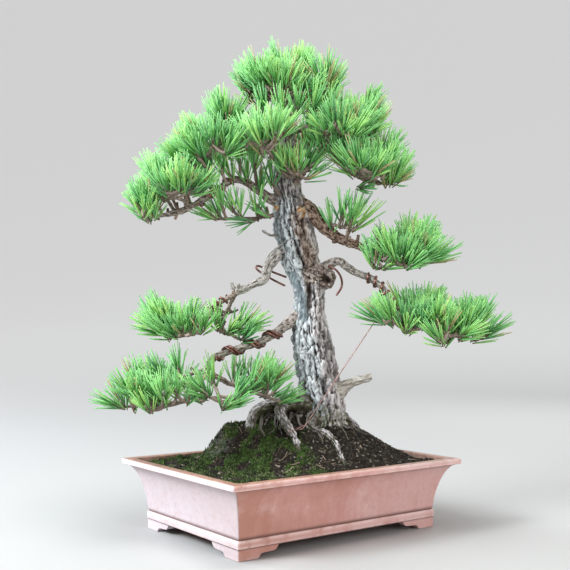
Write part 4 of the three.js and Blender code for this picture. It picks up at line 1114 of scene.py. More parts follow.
def trunk_shape(limb, sides):
    """Upright ridges that wander round the trunk and the flare of the roots, and the valleys between the
    ridges."""
    angle = round_angles(sides)[None]
    z = limb.centre[:, 2:]
    swing = np.abs(np.sin(3.5 * angle + 0.9 * np.sin(z / 31) + z / 170))
    low = np.maximum(0, (FLARE_TOP - z) / FLARE_TOP)
    shape = 0.92 + 0.13 * swing + 0.025 * np.sin(5 * angle + z / 13)
    shape = shape + 0.5 * low**2 * (1 + 0.6 * np.cos(5 * angle + 0.7))
    ragged = 0.5 * layered(angle / TURN * 14, z / 16, 61, 14)
    depth = 3.4 * smoothstep(-0.5, 0.5, layered(angle / TURN * 7, z / 60, 63, 7))
    valley = depth * smoothstep(0.5, 0.0, swing + ragged) * smoothstep(60, 120, z) * smoothstep(560, 480, z)
    return shape, valley


def trunk_scars(x, z):
    """The healed cuts and the raised rims round them."""
    scar, rim = np.zeros(x.shape), np.zeros(x.shape)
    for scar_x, scar_z, size in SCARS:
        far = np.hypot(x - scar_x, z - scar_z) + 2.2 * noise(x / 3.5, z / 3.5, 8)
        scar = np.maximum(scar, smoothstep(size, size - 2, far))
        rim = rim + np.exp(-(((far - size) / 1.8) ** 2))
    return scar, rim


def build_trunk():
    """The trunk's bark, with its pale strip, healed cuts and hollows, which are painted dark as shade. Its
    left is bluish and its right mauve, painted as a lit and a shaded side; its top is mauve, and its middle
    is brown; moss grows up its foot."""
    limb = Limb(TRUNK, 410)
    sides = 156
    shape, valley = trunk_shape(limb, sides)
    rings, marks = old_surface(limb, sides, (8, 21), 4.0, 11, shape, valley)
    x, y, z = np.moveaxis(seen_back(rings), -1, 0)
    axis = seen_back(limb.centre)[:, None]
    right, behind = x - axis[..., 0], y - axis[..., 1]
    front = smoothstep(2, -8, behind)
    strip = front * stroke(x, z, STRIP, 6.5, 4.5, 1.6 * noise(x / 4, z / 7, 4))
    recess = front * stroke(x, z, RECESS, 11, 3, 3 * noise(x / 5, z / 8, 24))
    shaggy = front * stroke(x, z, SHAGGY, 14, 5, 4 * noise(x / 6, z / 10, 31))
    scar, rim = (front * part for part in trunk_scars(x, z))
    hollow = smoothstep(26, 8, np.hypot((x - FOOT_HOLLOW[0]) / 1.1, (z - FOOT_HOLLOW[1]) / 1.2))
    hollow = hollow * smoothstep(0, -14, behind)
    out = unit(rings - limb.centre[:, None])
    rings = rings + out * (1.8 * rim - 1.0 * strip - 7 * hollow - 5 * recess)[..., None]
    plate = mix(marks["plate"], np.maximum(marks["plate"], 0.75), np.maximum(strip, scar))
    # painted shade: the foot hollow and the recess lose their plates to the dark crack colour
    plate = plate * (1 - 0.75 * hollow - 0.45 * recess)
    # painted light: the right side turns mauve as in shade, the left stays cool blue as if lit
    mauve = smoothstep(-8, 14, right + 7 * layered(x / 22, z / 40, 21)) + 0.25 * noise(x / 9, z / 14, 6)
    top = smoothstep(430, 470, z + 14 * layered(x / 14, z / 14, 19))
    warm = np.clip(np.max([mauve, recess, top, shaggy], 0), 0, 1) + 0.7 * shaggy
    # painted shade darkens the recess; the bark is also darker along the far left edge and where it is
    # shaggy
    dull = (1 - 0.4 * recess - 0.3 * smoothstep(-10, -24, right)) * (1 - 0.2 * shaggy)
    mossy = 0.9 * smoothstep(176, 138, z + 16 * layered(x / 14, z / 14, 9))
    tone = marks["tone"] * dull
    form = Form()
    form.tubes(rings[None], plate=plate, tone=tone, warm=warm, strip=strip, scar=scar, moss=mossy)
    form.piece("trunk", BARK, "bark", "pine_wood")


def add_branch(form, points, density, plate, deep, seed, warm, soiled=0.0, sides=None):
    """One branch or root: bark in small plates over a slow swell, with density rings to a millimetre.
    Where soiled is set, its foot and what lies near the soil lose their plates to soil stains
    and moss, and its underside is darkened as painted shade, with some moss."""
    length = np.linalg.norm(np.diff(np.array(points)[:, :3], axis=0), axis=1).sum()
    limb = Limb(points, max(8, int(length * density)))
    sides = sides or int(np.clip(TURN * np.max(limb.radius) * density, 14, 56))
    angle = round_angles(sides)[None]
    u, along = limb.u[:, None], limb.length[:, None]
    swell = 1 + 0.05 * np.sin(2 * angle + u * 23) + 0.05 * np.sin(u * 31)
    swell = swell + 0.07 * layered(angle / TURN * 3, along / 14, seed + 40, 3)
    rings, marks = old_surface(limb, sides, plate, deep, seed, swell)
    low = np.zeros(rings.shape[:2])
    if soiled:
        x, y, z = np.moveaxis(rings, -1, 0)
        upward = unit(rings - limb.centre[:, None])[..., 2]
        # painted shade: the underside, found by which way the surface faces, loses plates and tone
        under = smoothstep(0.75, -0.35, upward + 0.5 * layered(angle / TURN * 4, along / 9, seed, 4))
        buried = smoothstep(8, 1, z - soil_height(x, y) + 3 * noise(x / 5, y / 5, 6))
        foot = smoothstep(0.42, 0.18, u + 0.1 * layered(angle / TURN * 4, along / 11, seed + 2, 4))
        low = np.max([soiled * under, 0.9 * buried, 0.7 * foot], 0)
    plates_left = marks["plate"] * (1 - 0.85 * low)
    tone = marks["tone"] * (1 - 0.4 * low)
    form.tubes(rings[None], plate=plates_left, tone=tone, warm=warm, strip=0.0, scar=0.0, moss=0.5 * low)


def carve(rings, spots):
    """Hollows in the front of a limb: each spot is [x, z, radius, depth] seen from the front. Gives the
    rings and how deep in a hollow each place lies, from 0 to 1."""
    x, y, z = np.moveaxis(seen_back(rings), -1, 0)
    front = smoothstep(0, -4, y - y.mean(1, keepdims=True))
    out = unit(rings - rings.mean(1, keepdims=True))
    inside = np.zeros(front.shape)
    for spot_x, spot_z, radius, depth in spots:
        far = np.hypot(x - spot_x, z - spot_z) + 1.6 * noise(x / 4, z / 4, 5)
        share = smoothstep(radius, radius * 0.4, far) * front
        rings = rings - out * (depth * share)[..., None]
        inside = np.maximum(inside, share)
    return rings, inside


def add_stubs(form, points, seed, bare):
    """Short crooked twigs along a branch beyond its bare share, each bent upwards."""
    limb = Limb(points, 80)
    number = np.arange(int((1 - bare) * limb.length[-1] / 5)) + 100 * seed
    at = bare + (1 - bare) * chance(number, 401)
    out = limb.out(at, TURN * chance(number, 402))
    reach = (7 + 15 * chance(number, 403) ** 1.5)[:, None]
    way = unit(out + 0.8 * (chance(number, 404) - 0.35)[:, None] * limb.at(at, limb.along))
    t = np.linspace(0, 1, 7)[None, :, None]
    foot = limb.at(at, limb.centre)[:, None]
    line = foot + (reach * way)[:, None] * t + (0.5 * reach * UP)[:, None] * t**2
    radius = np.interp(at, limb.u, limb.radius)[:, None] * 0.16 + mix(1.7, 1.1, t[..., 0])
    tone = (0.2 + 0.6 * chance(number, 405))[:, None, None]
    form.tubes(scaly(line, radius, 7, seed), plate=0.8, warm=0.9, tone=tone)


def build_wood(name, finish, limbs, seed, **look):
    """A piece of limbs that share one look."""
    form = Form()
    for number, points in enumerate(limbs):
        add_branch(form, points, seed=seed + number, **look)
    form.piece(name, finish, "bark", "pine_wood")


def build_branches():
    """The branches with their stubs of twigs, and the twigs that carry the sprays."""
    form = Form()
    for number, points in enumerate(BRANCHES):
        warm, deep = BRANCH_LOOK.get(number, PLAIN_LOOK)
        add_branch(form, points, density=0.68, plate=(3.8, 7), deep=deep, seed=90 + number, warm=warm)
        if points[-1][3] < 2.5:
            add_stubs(form, points, number, BARE.get(number, PLAIN_BARE))
    for number, (_, start, root, _, _) in enumerate(SPRAYS):
        if start:
            twig = [[*start, 3], [*root, 2.3]]
            add_branch(form, twig, density=0.5, plate=(4, 6), deep=0.7, seed=130 + number, warm=0.75)
    form.piece("branches", YOUNG_BARK, "bark", "pine_wood")


def build_knot():
    """The burl on the trunk's right, with hollows where branches were lost, painted dark inside as shade.
    """
    limb = Limb(KNOT, 66)
    sides = 110
    angle = round_angles(sides)[None]
    lumps = 1 + 0.14 * layered(angle / TURN * 5, limb.length[:, None] / 9, 66, 5)
    rings, marks = old_surface(limb, sides, (6, 9), 2.4, 31, lumps)
    rings, inside = carve(rings, KNOT_HOLLOWS)
    # painted shade: inside the hollows the plates give way to crack colour and the tone drops
    plate, tone = marks["plate"] * (1 - 0.9 * inside), marks["tone"] * (0.8 - 0.4 * inside)
    form = Form()
    form.tubes(rings[None], plate=plate, tone=tone, warm=1.55 + 0.3 * inside, strip=0.0, scar=0.0, moss=0.0)
    form.piece("knot", BARK, "bark", "pine_wood")


# The soil and what lies on it

HEAP = [[20, 4, 167, 22], [-6, 0, 163, 20], [-26, -8, 159, 17], [-41, -13, 151, 13]]  # x, y, top and reach
# How many places are tried for moss, grains and straws, and how many fine roots there are
MOSS_PLACES = 18000
GRAIN_PLACES = 4600
STRAW_PLACES = 520
ROOTLETS = 42


def heap(sx, sy):
    """Soil heaped over the mass of roots on the trunk's left: the highest of rounded humps along its
    line."""
    line = np.array(HEAP, float)
    share = np.linspace(0, len(line) - 1, 14)
    humps = np.stack([np.interp(share, np.arange(len(line)), column) for column in line.T], -1)
    tops = [top - 0.8 * ((sx - x) ** 2 + (sy - y) ** 2) / reach for x, y, top, reach in humps]
    return np.max(tops, 0)


def soil_height(x, y):
    """The soil's height: a round mound, a steeper hump on its left and the heap by the roots, blended
    smoothly."""
    sx, sy = seen_plan(x, y)
    away = np.hypot((sx - 15) / 150, sy / np.where(sy < 0, 100, 130))
    mound = MOUND * smoothstep(0, 0.76, 1.12 - away)
    hump = smoothstep(-126, -88, sx) * smoothstep(0, 44, 62 - np.abs(sy + 4)) * smoothstep(0, 60, 10 - sx)
    swell = 1.2 * np.sin(x / 17 + 1) * np.sin(y / 14)
    ground = SOIL_EDGE + (mound**4 + (LEFT_HUMP * hump) ** 4) ** 0.25 + swell
    raised = heap(sx, sy)
    return (ground + raised + np.sqrt((ground - raised) ** 2 + 60)) / 2


def mossiness(x, y):
    """Moss grows on the left and near left, in patches, and thins out to the right and under the
    trunk."""
    sx, sy = seen_plan(x, y)
    left = smoothstep(60, -80, sx + 0.3 * sy + 34 * layered(sx / 40, sy / 40, 14))
    patches = smoothstep(-0.35, 0.25, layered(sx / 16, sy / 16, 17))
    back = 0.5 * smoothstep(20, 70, sy)
    under = 1 - 0.8 * np.exp(-((sx - 4) ** 2 + (sy + 12) ** 2) / 27**2)
    return np.clip((left + back + 0.2) * patches * under, 0, 1)


def soil_relief(x, y):
    """Lumps, cushions of moss and crumbs, added to the soil's height; only crumbs at its edge, which lies
    lower."""
    inside = smoothstep(0, 14, np.minimum(BED[0] - np.abs(x), BED[1] - np.abs(y)))
    lumps = 2.6 * layered(x / 17, y / 17, 31) + 1.3 * layered(x / 5.5, y / 5.5, 33)
    crumb_gap, crumb_size, _ = plates(x / 3.3, y / 3.3, 35)
    crumbs = 1.1 * smoothstep(0, 0.5, crumb_gap) * (0.4 + crumb_size)
    cushion_gap, cushion_size, _ = plates(x / 13 + 0.3 * noise(x / 9, y / 9, 2), y / 13, 37)
    cushions = 3.4 * smoothstep(0, 0.8, cushion_gap) * (0.4 + cushion_size) * mossiness(x, y)
    return inside * (lumps + cushions) + (0.35 + 0.65 * inside) * crumbs - 1.2 * (1 - inside)


def soil_surface(x, y):
    """The soil's height with its relief."""
    return soil_height(x, y) + soil_relief(x, y)


def soil_top(across, deep, half, corner):
    """A grid of places over the soil, pulled in to a rectangle with round corners."""
    x, y = np.meshgrid(np.linspace(-half[0], half[0], across), np.linspace(-half[1], half[1], deep))
    spot = np.stack([x, y], -1)
    over = np.maximum(np.abs(spot) - half + corner, 0)
    reach = np.linalg.norm(over, axis=-1, keepdims=True)
    pull = np.where(reach > corner, corner / np.maximum(reach, 1e-9), 1)
    return np.sign(spot) * (np.minimum(np.abs(spot), half - corner) + over * pull)


def build_soil():
    """The soil: a fine top over the pot's inside, walls in steps down along the pot's, and a foot as a
    fan."""
    across, deep, half = 225, 171, BED - 0.35
    plan = soil_top(across, deep, half, 6.5).reshape(-1, 2)
    top = np.column_stack([plan, soil_surface(plan[:, 0], plan[:, 1])])
    row, column = np.meshgrid(np.arange(deep - 1), np.arange(across - 1), indexing="ij")
    a = row * across + column
    faces = [np.stack([a, a + 1, a + across + 1, a + across], -1).reshape(-1, 4)]
    cells = np.arange(across * deep).reshape(deep, across)
    border = np.concatenate([cells[0], cells[1:, -1], cells[-1, -2::-1], cells[-2:0:-1, 0]])
    points, upper = [top], border
    for height in (84, 72, 60, 48, 36, SOIL_FOOT):
        share = (height - wall_height(0)) / (wall_height(1) - wall_height(0))
        shrink = np.minimum(1, (np.array(wall(share)) - POT["wall"] - 1) / half)
        lower = sum(map(len, points)) + np.arange(len(border))
        points.append(np.column_stack([plan[border] * shrink, np.full(len(border), height)]))
        faces.append(joined(lower, upper))
        upper = lower
    points.append([[0, 0, SOIL_FOOT]])
    fan = np.stack([np.full(len(border), upper[-1] + 1), np.roll(upper, -1), upper], -1)
    whole = np.vstack(points)
    x, y, z = whole.T
    left = smoothstep(-70, -100, seen_plan(x, y)[0] + 8 * layered(x / 12, z / 12, 3))
    lichen = left * smoothstep(96, 112, z)
    form = Form()
    form.add(whole[None], np.concatenate(faces), fan, moss=mossiness(x, y)[None], lichen=lichen[None])
    form.piece("soil_bed", EARTH, "soil", "soil")


def scattered(count, seed, margin):
    """Repeatable places over the soil, a margin in from its edge."""
    number = np.arange(count)
    half = BED - margin
    return number, half[0] * (2 * chance(number, seed) - 1), half[1] * (2 * chance(number, seed + 1) - 1)


def clear_of_wood(x, y, z):
    """Whether a place lies outside the trunk's foot and the roots."""
    spot = np.stack([x, y, z], -1)
    clear = np.ones(len(x), bool)
    for points in [TRUNK[:6], *ROOTS]:
        limb = Limb(points, 24)
        away = np.linalg.norm(spot[:, None] - limb.centre[None], axis=-1) - limb.radius
        clear &= away.min(1) > 1.0
    return clear


def strewn(count, seed, wanted):
    """Repeatable places on the soil where something is wanted, clear of the wood: their numbers, x, y and
    z."""
    number, x, y = scattered(count, seed, 5)
    keep = wanted(number, x, y)
    number, x, y = number[keep], x[keep], y[keep]
    z = soil_surface(x, y)
    clear = clear_of_wood(x, y, z)
    return number[clear], x[clear], y[clear], z[clear]


def tuft_stands(number, x, y):
    """Where a tuft of moss stands: on mossy soil, with a ragged edge."""
    return mossiness(x, y) + 0.25 * (chance(number, 203) - 0.5) > 0.42


def grain_lies(number, x, y):
    """Where a loose grain lies: mostly where there is little moss."""
    return mossiness(x, y) < 0.35 + 0.5 * chance(number, 233)


def build_moss():
    """Thousands of tiny pointed leaves that stand on the mossy soil and lean every way."""
    number, x, y, z = strewn(MOSS_PLACES, 201, tuft_stands)
    tall = 2.0 + 2.2 * chance(number, 204)
    lean = 0.55 * np.stack([chance(number, 205) - 0.5, chance(number, 206) - 0.5], -1)
    way = np.column_stack([lean, np.ones(len(x))])
    foot = np.stack([x, y, z - 0.6], -1)
    ends = np.array([0, 1])
    line = foot[:, None] + way[:, None] * (tall[:, None] * ends)[..., None]
    radius = np.array([0.68, 0.08]) * (0.8 + 0.5 * chance(number, 207))[:, None]
    tone = np.clip(0.26 + 1.1 * layered(x / 12, y / 12, 208) + 0.5 * (chance(number, 209) - 0.3), 0, 1)
    tone = np.where(chance(number, 210) > 0.95, 1, tone)
    form = Form()
    form.tubes(paths(line, radius, 3), tone=tone[:, None, None], along=ends[None, :, None])
    form.piece("moss_tufts", MOSS, "soil")


def build_grains():
    """Loose grains: angular little stones of three uneven rings, half sunk into the soil."""
    number, x, y, z = (part[:, None] for part in strewn(GRAIN_PLACES, 231, grain_lies))
    size = 0.6 + 1.6 * chance(number, 234) ** 3
    turn = round_angles(5)[None] + TURN * chance(number, 236)
    rings = []
    for level, (share, height) in enumerate([(0.6, -0.8), (1.0, 0.0), (0.45, 0.75)]):
        radius = size * share * (0.65 + 0.7 * chance(number * 7 + np.arange(5)[None], 235 + level))
        upright = np.broadcast_to(z + 0.2 + size * height * 0.8, radius.shape)
        rings.append(np.stack([x + radius * np.cos(turn), y + radius * np.sin(turn), upright], -1))
    form = Form()
    form.tubes(np.stack(rings, 1), tone=(chance(number, 240) ** 1.4)[..., None])
    form.piece("soil_grains", GRAIN, "soil")


def build_rootlets():
    """Thin roots that wander over the soil: most of them outwards from all round the trunk's foot, the
    others down the front of the heap on its left."""
    number = np.arange(ROOTLETS)
    round_foot = number % 3 > 0
    heading = TURN * np.where(round_foot, number / ROOTLETS, -0.25 + 0.3 * (chance(number, 281) - 0.5))
    start_x = np.where(round_foot, 40 + 22 * np.cos(heading), mix(-44, 22, chance(number, 282)))
    start_y = np.where(round_foot, 6 + 22 * np.sin(heading), -6 - 10 * chance(number, 283))
    share = np.linspace(0, 1, 12)
    number = number[:, None]
    wander = 0.4 * np.sin(6 * share + TURN * chance(number, 284))
    wander = wander + 0.8 * (chance(number, 285) - 0.5) * share
    step = (16 + 34 * chance(number, 286)) / 11
    x = start_x[:, None] + np.cumsum(step * np.cos(heading[:, None] + wander), 1)
    y = start_y[:, None] + np.cumsum(step * np.sin(heading[:, None] + wander), 1)
    line = seen(np.stack([x, y, 0 * x], -1))
    line[..., :2] = np.clip(line[..., :2], 4 - BED, BED - 4)
    line[..., 2] = soil_surface(line[..., 0], line[..., 1]) + 0.5
    radius = (1.0 + 1.8 * chance(number, 287) ** 2) * mix(1, 0.4, share)
    tone = (0.1 + 0.5 * chance(number, 288))[..., None]
    form = Form()
    form.tubes(scaly(line, radius, 6, 9), plate=0.5, tone=tone, warm=0.95, strip=0.0, scar=0.0, moss=0.3)
    form.piece("rootlets", BARK, "bark", "pine_wood")


def build_litter():
    """Fallen needles and bits of twig, each a slight bow laid over the soil, more of them on the
    right."""
    number, x, y = scattered(STRAW_PLACES, 251, 20)
    right = smoothstep(-120, 60, seen_plan(x, y)[0])
    keep = chance(number, 253) < 0.12 + 0.4 * right
    number, x, y = (part[keep][:, None] for part in (number, x, y))
    heading = TURN * chance(number, 254)
    share = np.linspace(-0.5, 0.5, 7)
    along = (5 + 15 * chance(number, 255) ** 1.5) * share
    across = 3 * (chance(number, 256) - 0.5) * (4 * share**2 - 0.5)
    x = np.clip(x + np.cos(heading) * along - np.sin(heading) * across, 3 - BED[0], BED[0] - 3)
    y = np.clip(y + np.sin(heading) * along + np.cos(heading) * across, 3 - BED[1], BED[1] - 3)
    z = soil_surface(x, y)
    z = (z + np.roll(z, 1, 1) + np.roll(z, -1, 1)) / 3 + 0.9
    z[:, [0, -1]] = z[:, [1, -2]]
    middle = len(share) // 2
    clear = clear_of_wood(x[:, middle], y[:, middle], z[:, middle])
    radius = (0.4 + 0.4 * chance(number, 257) ** 4) * np.array([0.8, 1, 1, 1, 1, 0.9, 0.5])
    form = Form()
    form.tubes(paths(np.stack([x, y, z], -1), radius, 4)[clear], tone=chance(number, 258)[clear][..., None])
    form.piece("litter", STRAW, "soil")


# The wires, as points seen from the front

HOOK = [
    [-6, 8, 340], [-24, 11, 347], [-42, 11, 355], [-48, 11, 355.5], [-47, 11, 351], [-36, 11, 343],
    [-20, 9, 334], [-8, 6, 328],
]
KNOT_WIRE = [[50, -21, 354], [61, -19, 348], [68, -14, 338], [69, -9, 326], [62, -5, 314]]
GUY_CORNER = [15, -60, 139]


def wound(points, start, end, turns, radius, phase, slack=0.2):
    """A helix on a limb from one share of its length to another: its way out turns evenly, just clear of
    the bark."""
    limb = Limb(points, 240)
    share = np.linspace(0, 1, int(turns * 28) + 1)
    at = mix(start, end, share)
    off = np.interp(at, limb.u, limb.radius) * 1.06 + radius + slack
    return limb.at(at, limb.centre) + limb.out(at, phase + TURN * turns * share) * off[:, None]


def bent(points):
    """A smooth line through points seen from the front."""
    return smooth_line(seen(points), np.linspace(0, 1, 64))


def build_wires():
    """The training wires on the branches. Each winding has its limb, the shares where it starts and ends,
    its turns, its wire's radius and the angle where it starts; the thick wires lie a little further
    off."""
    wires = dict(
        lower_left_outer=wound(LOWER_LEFT, 0.14, 0.58, 3.6, THICK_WIRE_RADIUS, 1.2, 0.4),
        lower_left_inner=wound(LOWER_LEFT, 0.162, 0.602, 3.6, THICK_WIRE_RADIUS, 1.2, 0.4),
        mid_left=wound(MID_LEFT_UPPER, 0.2, 0.56, 3.2, WIRE_RADIUS, 0.4),
        mid_left_hook=bent(HOOK),
        crown_left=wound(CROWN_LEFT, 0.44, 0.73, 3.4, WIRE_RADIUS, 2.2),
        right_lower=wound(RIGHT_LOWER, 0.42, 0.63, 3.4, WIRE_RADIUS, 0.3),
        knot=bent(KNOT_WIRE),
        crown_stub=wound(CROWN_STUB, 0.8, 0.99, 1, WIRE_RADIUS, 3.6),
    )
    for name, line in wires.items():
        radius = THICK_WIRE_RADIUS if name.startswith("lower_left") else WIRE_RADIUS
        form = Form()
        form.tubes(path_carried(line, radius, 10))
        form.piece(f"copper_{name}", COPPER, "copper_wire", f"wire_{name}")


def build_guy_wire():
    """The thin wire, tied round the branch, straight down to its corner and round a root, with its two
    ends twisted together from the corner to the root."""
    tied = wound(RIGHT_LOWER, 0.672, 0.685, 1.2, GUY_RADIUS, 0, 0.6)
    foot = wound(ROOTS[1], 0.532, 0.546, 1.2, GUY_RADIUS, 3.7, 0.6)
    corner = seen([GUY_CORNER])
    run = mix(tied[-1:], corner, np.linspace(0.02, 0.98, 40)[:, None])
    form = Form()
    form.tubes(path_carried(np.concatenate([tied, run, corner, foot]), GUY_RADIUS, 8))
    share = np.linspace(0, 1, 60)[:, None]
    spine = mix(corner + [0, 0, 4], foot[:1], share)
    for phase in (0, math.pi):
        swing = phase + 5 * TURN * share
        twist = 1.1 * np.hstack([np.cos(swing), np.sin(swing), 0 * swing])
        form.tubes(path_carried(spine + twist, GUY_RADIUS, 6))
    form.piece("copper_guy", PALE_COPPER, "copper_wire", "guy_wire")


# The foliage

NEEDLE_LENGTH = 42
NEEDLE_RINGS = np.array([0, 0.5, 1.0])  # where along a needle its rings stand, and their radii
NEEDLE_RADII = [0.9, 1.08, 0.55]
SHOOT = 15.0  # the length of shoot that bears needles
GOLDEN = math.radians(137.5)
TWINS = np.array([-1.0, 1.0])  # the two needles of a pair
LOWEST = 0.0  # how far down a needle's way may point, on an ordinary shoot
TRUNK_MIDDLE = [4, 10, 0]
# How each pad is filled: pairs of needles on a shoot, the needles' size, and the shares of shoots with one
# and with two companions. The longest name that a spray's begins with holds.
DENSITY = dict(
    lower_left=(10, 0.93, 0.55, 0.2),
    mid_left=(11, 1.0, 0.8, 0.4),
    right_lower=(11, 0.97, 0.9, 0.5),
    right_upper=(11, 1.0, 0.9, 0.5),
    right_upper_near=(8, 1.15, 0.0, 0.0),
    right_upper_low=(9, 0.85, 0.0, 0.0),
    crown_low_left=(7, 0.95, 0.2, 0.0),
    crown_front_low=(9, 0.85, 0.5, 0.0),
    crown=(10, 1.0, 1.0, 0.85),
)
# Single shoots that fill the gaps: each leaves a branch at its first point, stands on its second, and has
# an axis and a size
INFILL = dict(
    lower_left_near_front=[
        ([-106, -42, 199], [-102, -46, 198], [-0.15, -0.15, 1], 0.9),
    ],
    right_upper_near=[
        ([46, -6, 409], [55, -17, 408], [-0.14, -0.1, 1], 0.9),
    ],
    crown_left_mid=[
        ([-62, -10, 470], [-60, -20, 474], [-0.1, -0.1, 1], 0.9),
        ([-80, -16, 472], [-83, -26, 478], [-0.35, -0.2, 0.9], 0.9),
        ([-46, -4, 460], [-40, -16, 464], [0.15, -0.3, 1], 0.8),
        ([-88, -18, 467], [-94, -36, 484], [-0.2, -0.4, 1], 0.9),
        ([-46, -4, 460], [-49, -28, 490], [0.1, -0.3, 1], 0.85),
        ([-97, -20, 460], [-108, -30, 462], [-0.3, -0.1, 1], 0.9),
        ([-70, -14, 472], [-70, -38, 496], [-0.1, -0.4, 1], 0.9),
        ([-12, 2, 452], [-26, -22, 470], [-0.1, -0.3, 1], 0.8),
    ],
    crown_low_left=[
        ([-30, 4, 425], [-34, -12, 426], [-0.6, -0.4, 0.5], 0.8),
        ([-48, -2, 421], [-58, -16, 414], [-0.5, -0.5, -0.1], 0.8),
        ([-40, 0, 423], [-46, -14, 432], [0.1, -0.5, 0.8], 0.9),
    ],
    crown_right_low=[
        ([108, -14, 472], [96, -20, 460], [0.7, -0.6, -0.1], 0.55),
    ],
    crown_right_low_front=[
        ([48, -6, 519], [42, -30, 512], [-0.2, -0.5, 1], 0.85),
        ([59, -8, 514], [60, -38, 505], [0.1, -0.5, 1], 0.85),
        ([70, -10, 499], [72, -40, 492], [-0.1, -0.5, 1], 0.8),
        ([34, -2, 508], [24, -24, 520], [0.1, -0.5, 1], 0.85),
    ],
    crown_top_front=[
        ([28, 10, 549], [26, -26, 552], [0.1, -0.4, 1], 0.9),
        ([58, 6, 544], [50, -30, 540], [0.1, -0.4, 1], 0.9),
        ([-32, 8, 518], [-40, -34, 528], [-0.3, -0.3, 1], 0.9),
        ([-8, 14, 520], [-2, -30, 536], [0, -0.5, 1], 0.85),
        ([-8, -16, 570], [-14, -52, 554], [-0.1, -0.6, 0.9], 0.9),
        ([-8, -16, 570], [8, -50, 560], [0.1, -0.6, 0.9], 0.9),
        ([-8, -16, 570], [30, -46, 564], [0.2, -0.5, 0.9], 0.9),
        ([28, 10, 549], [50, -36, 562], [0.3, -0.5, 0.9], 0.9),
        ([-8, -16, 570], [-36, -46, 560], [-0.3, -0.5, 0.9], 0.9),
    ],
)
INFILL_SIZE = 1.08


def shoots_of(number, start, end, stations):
    """A spray's shoots, each with its foot on the stem, its base and its axis: one at the tip, and pairs
    along the stem."""
    way = unit(end - start)
    reach = np.linalg.norm(end - start)
    side = unit(np.cross(way, UP))
    shoots = [(end, end + 4 * way + 3 * UP, unit(0.75 * way + 0.6 * UP))]
    for k in range(1, stations + 1):
        share = 0.8 * k / stations - 0.12 * chance(number, k)
        foot = start + (5 + (reach - 10) * max(share, 0.12)) * way
        for hand in (1, -1):
            seed = 2 * k + (hand < 0)
            spread = min(31, 14 + 0.22 * reach) * (0.75 + 0.4 * chance(number, seed))
            lateral = hand * side + (0.15 + 0.6 * chance(seed, number)) * UP + 0.4 * way
            axis = unit(UP + 0.5 * hand * side + 0.4 * way)
            shoots.append((foot, foot + spread * lateral + 3 * UP, axis))
    return shoots


def square_to(axis, swing):
    """A way square to an axis, turned round it by an angle."""
    level = unit(np.cross(axis, [0.3, 0.2, 1.0]))
    return math.cos(swing) * level + math.sin(swing) * np.cross(axis, level)


def leaning(shoots, number):
    """The shoots with their axes tipped a little, each its own way."""
    tipped = []
    for k, (foot, base, axis) in enumerate(shoots):
        out = square_to(axis, TURN * chance(number * 31 + k, 311))
        tipped.append((foot, base, unit(axis + (0.08 + 0.2 * chance(number, k + 312)) * out)))
    return tipped


def companions(shoots, number, share):
    """More shoots between the main ones: each leaves a main shoot's twig and turns out on its own, but
    hardly away from the trunk."""
    more = []
    for k, (_, base, axis) in enumerate(shoots):
        outward = unit((base - seen(TRUNK_MIDDLE)) * [1, 1, 0])
        for twin in range(2):
            seed = 40 * number + 3 * k + 17 * twin
            if chance(seed, 301) > share[twin]:
                continue
            out = square_to(axis, TURN * chance(seed, 302))
            out = out - max(0, out.dot(outward)) * 1.7 * outward
            out = unit(out * [1, 1, 0.3] + 1e-6)
            step = 11 + 12 * chance(seed, 303)
            rise = 18 * (chance(seed, 304) - 0.62)
            more.append((base - 2 * axis, base + step * out + rise * UP, unit(axis + 0.5 * out)))
    return more


def needle_ways(axis, seed, polar, turn, hanging):
    """The ways of the two needles of each pair: the pair opens from its shoot's axis by the angle polar,
    and its two needles open a little from each other. Only on a hanging shoot may they point down. Gives
    the ways, and the way out from the axis."""
    level = unit(np.cross(axis, np.array([0.31, 0.17, 0.93])))[:, None]
    across = np.cross(axis[:, None], level)
    out = np.cos(turn)[..., None] * level + np.sin(turn)[..., None] * across
    way = np.cos(polar)[..., None] * axis[:, None] + np.sin(polar)[..., None] * out
    spin = TURN * chance(seed, 4)[..., None]
    split = np.cross(way, unit(np.cross(way, UP) + 1e-6))
    apart = np.cos(spin) * split + np.sin(spin) * np.cross(way, split)
    opening = 0.025 + 0.06 * chance(seed, 5)
    ways = way[:, :, None] + apart[:, :, None] * (TWINS * opening[..., None])[..., None]
    lowest = np.where(hanging, -1, LOWEST)[:, None, None, None]
    return unit(np.concatenate([ways[..., :2], np.maximum(ways[..., 2:], lowest)], -1)), out


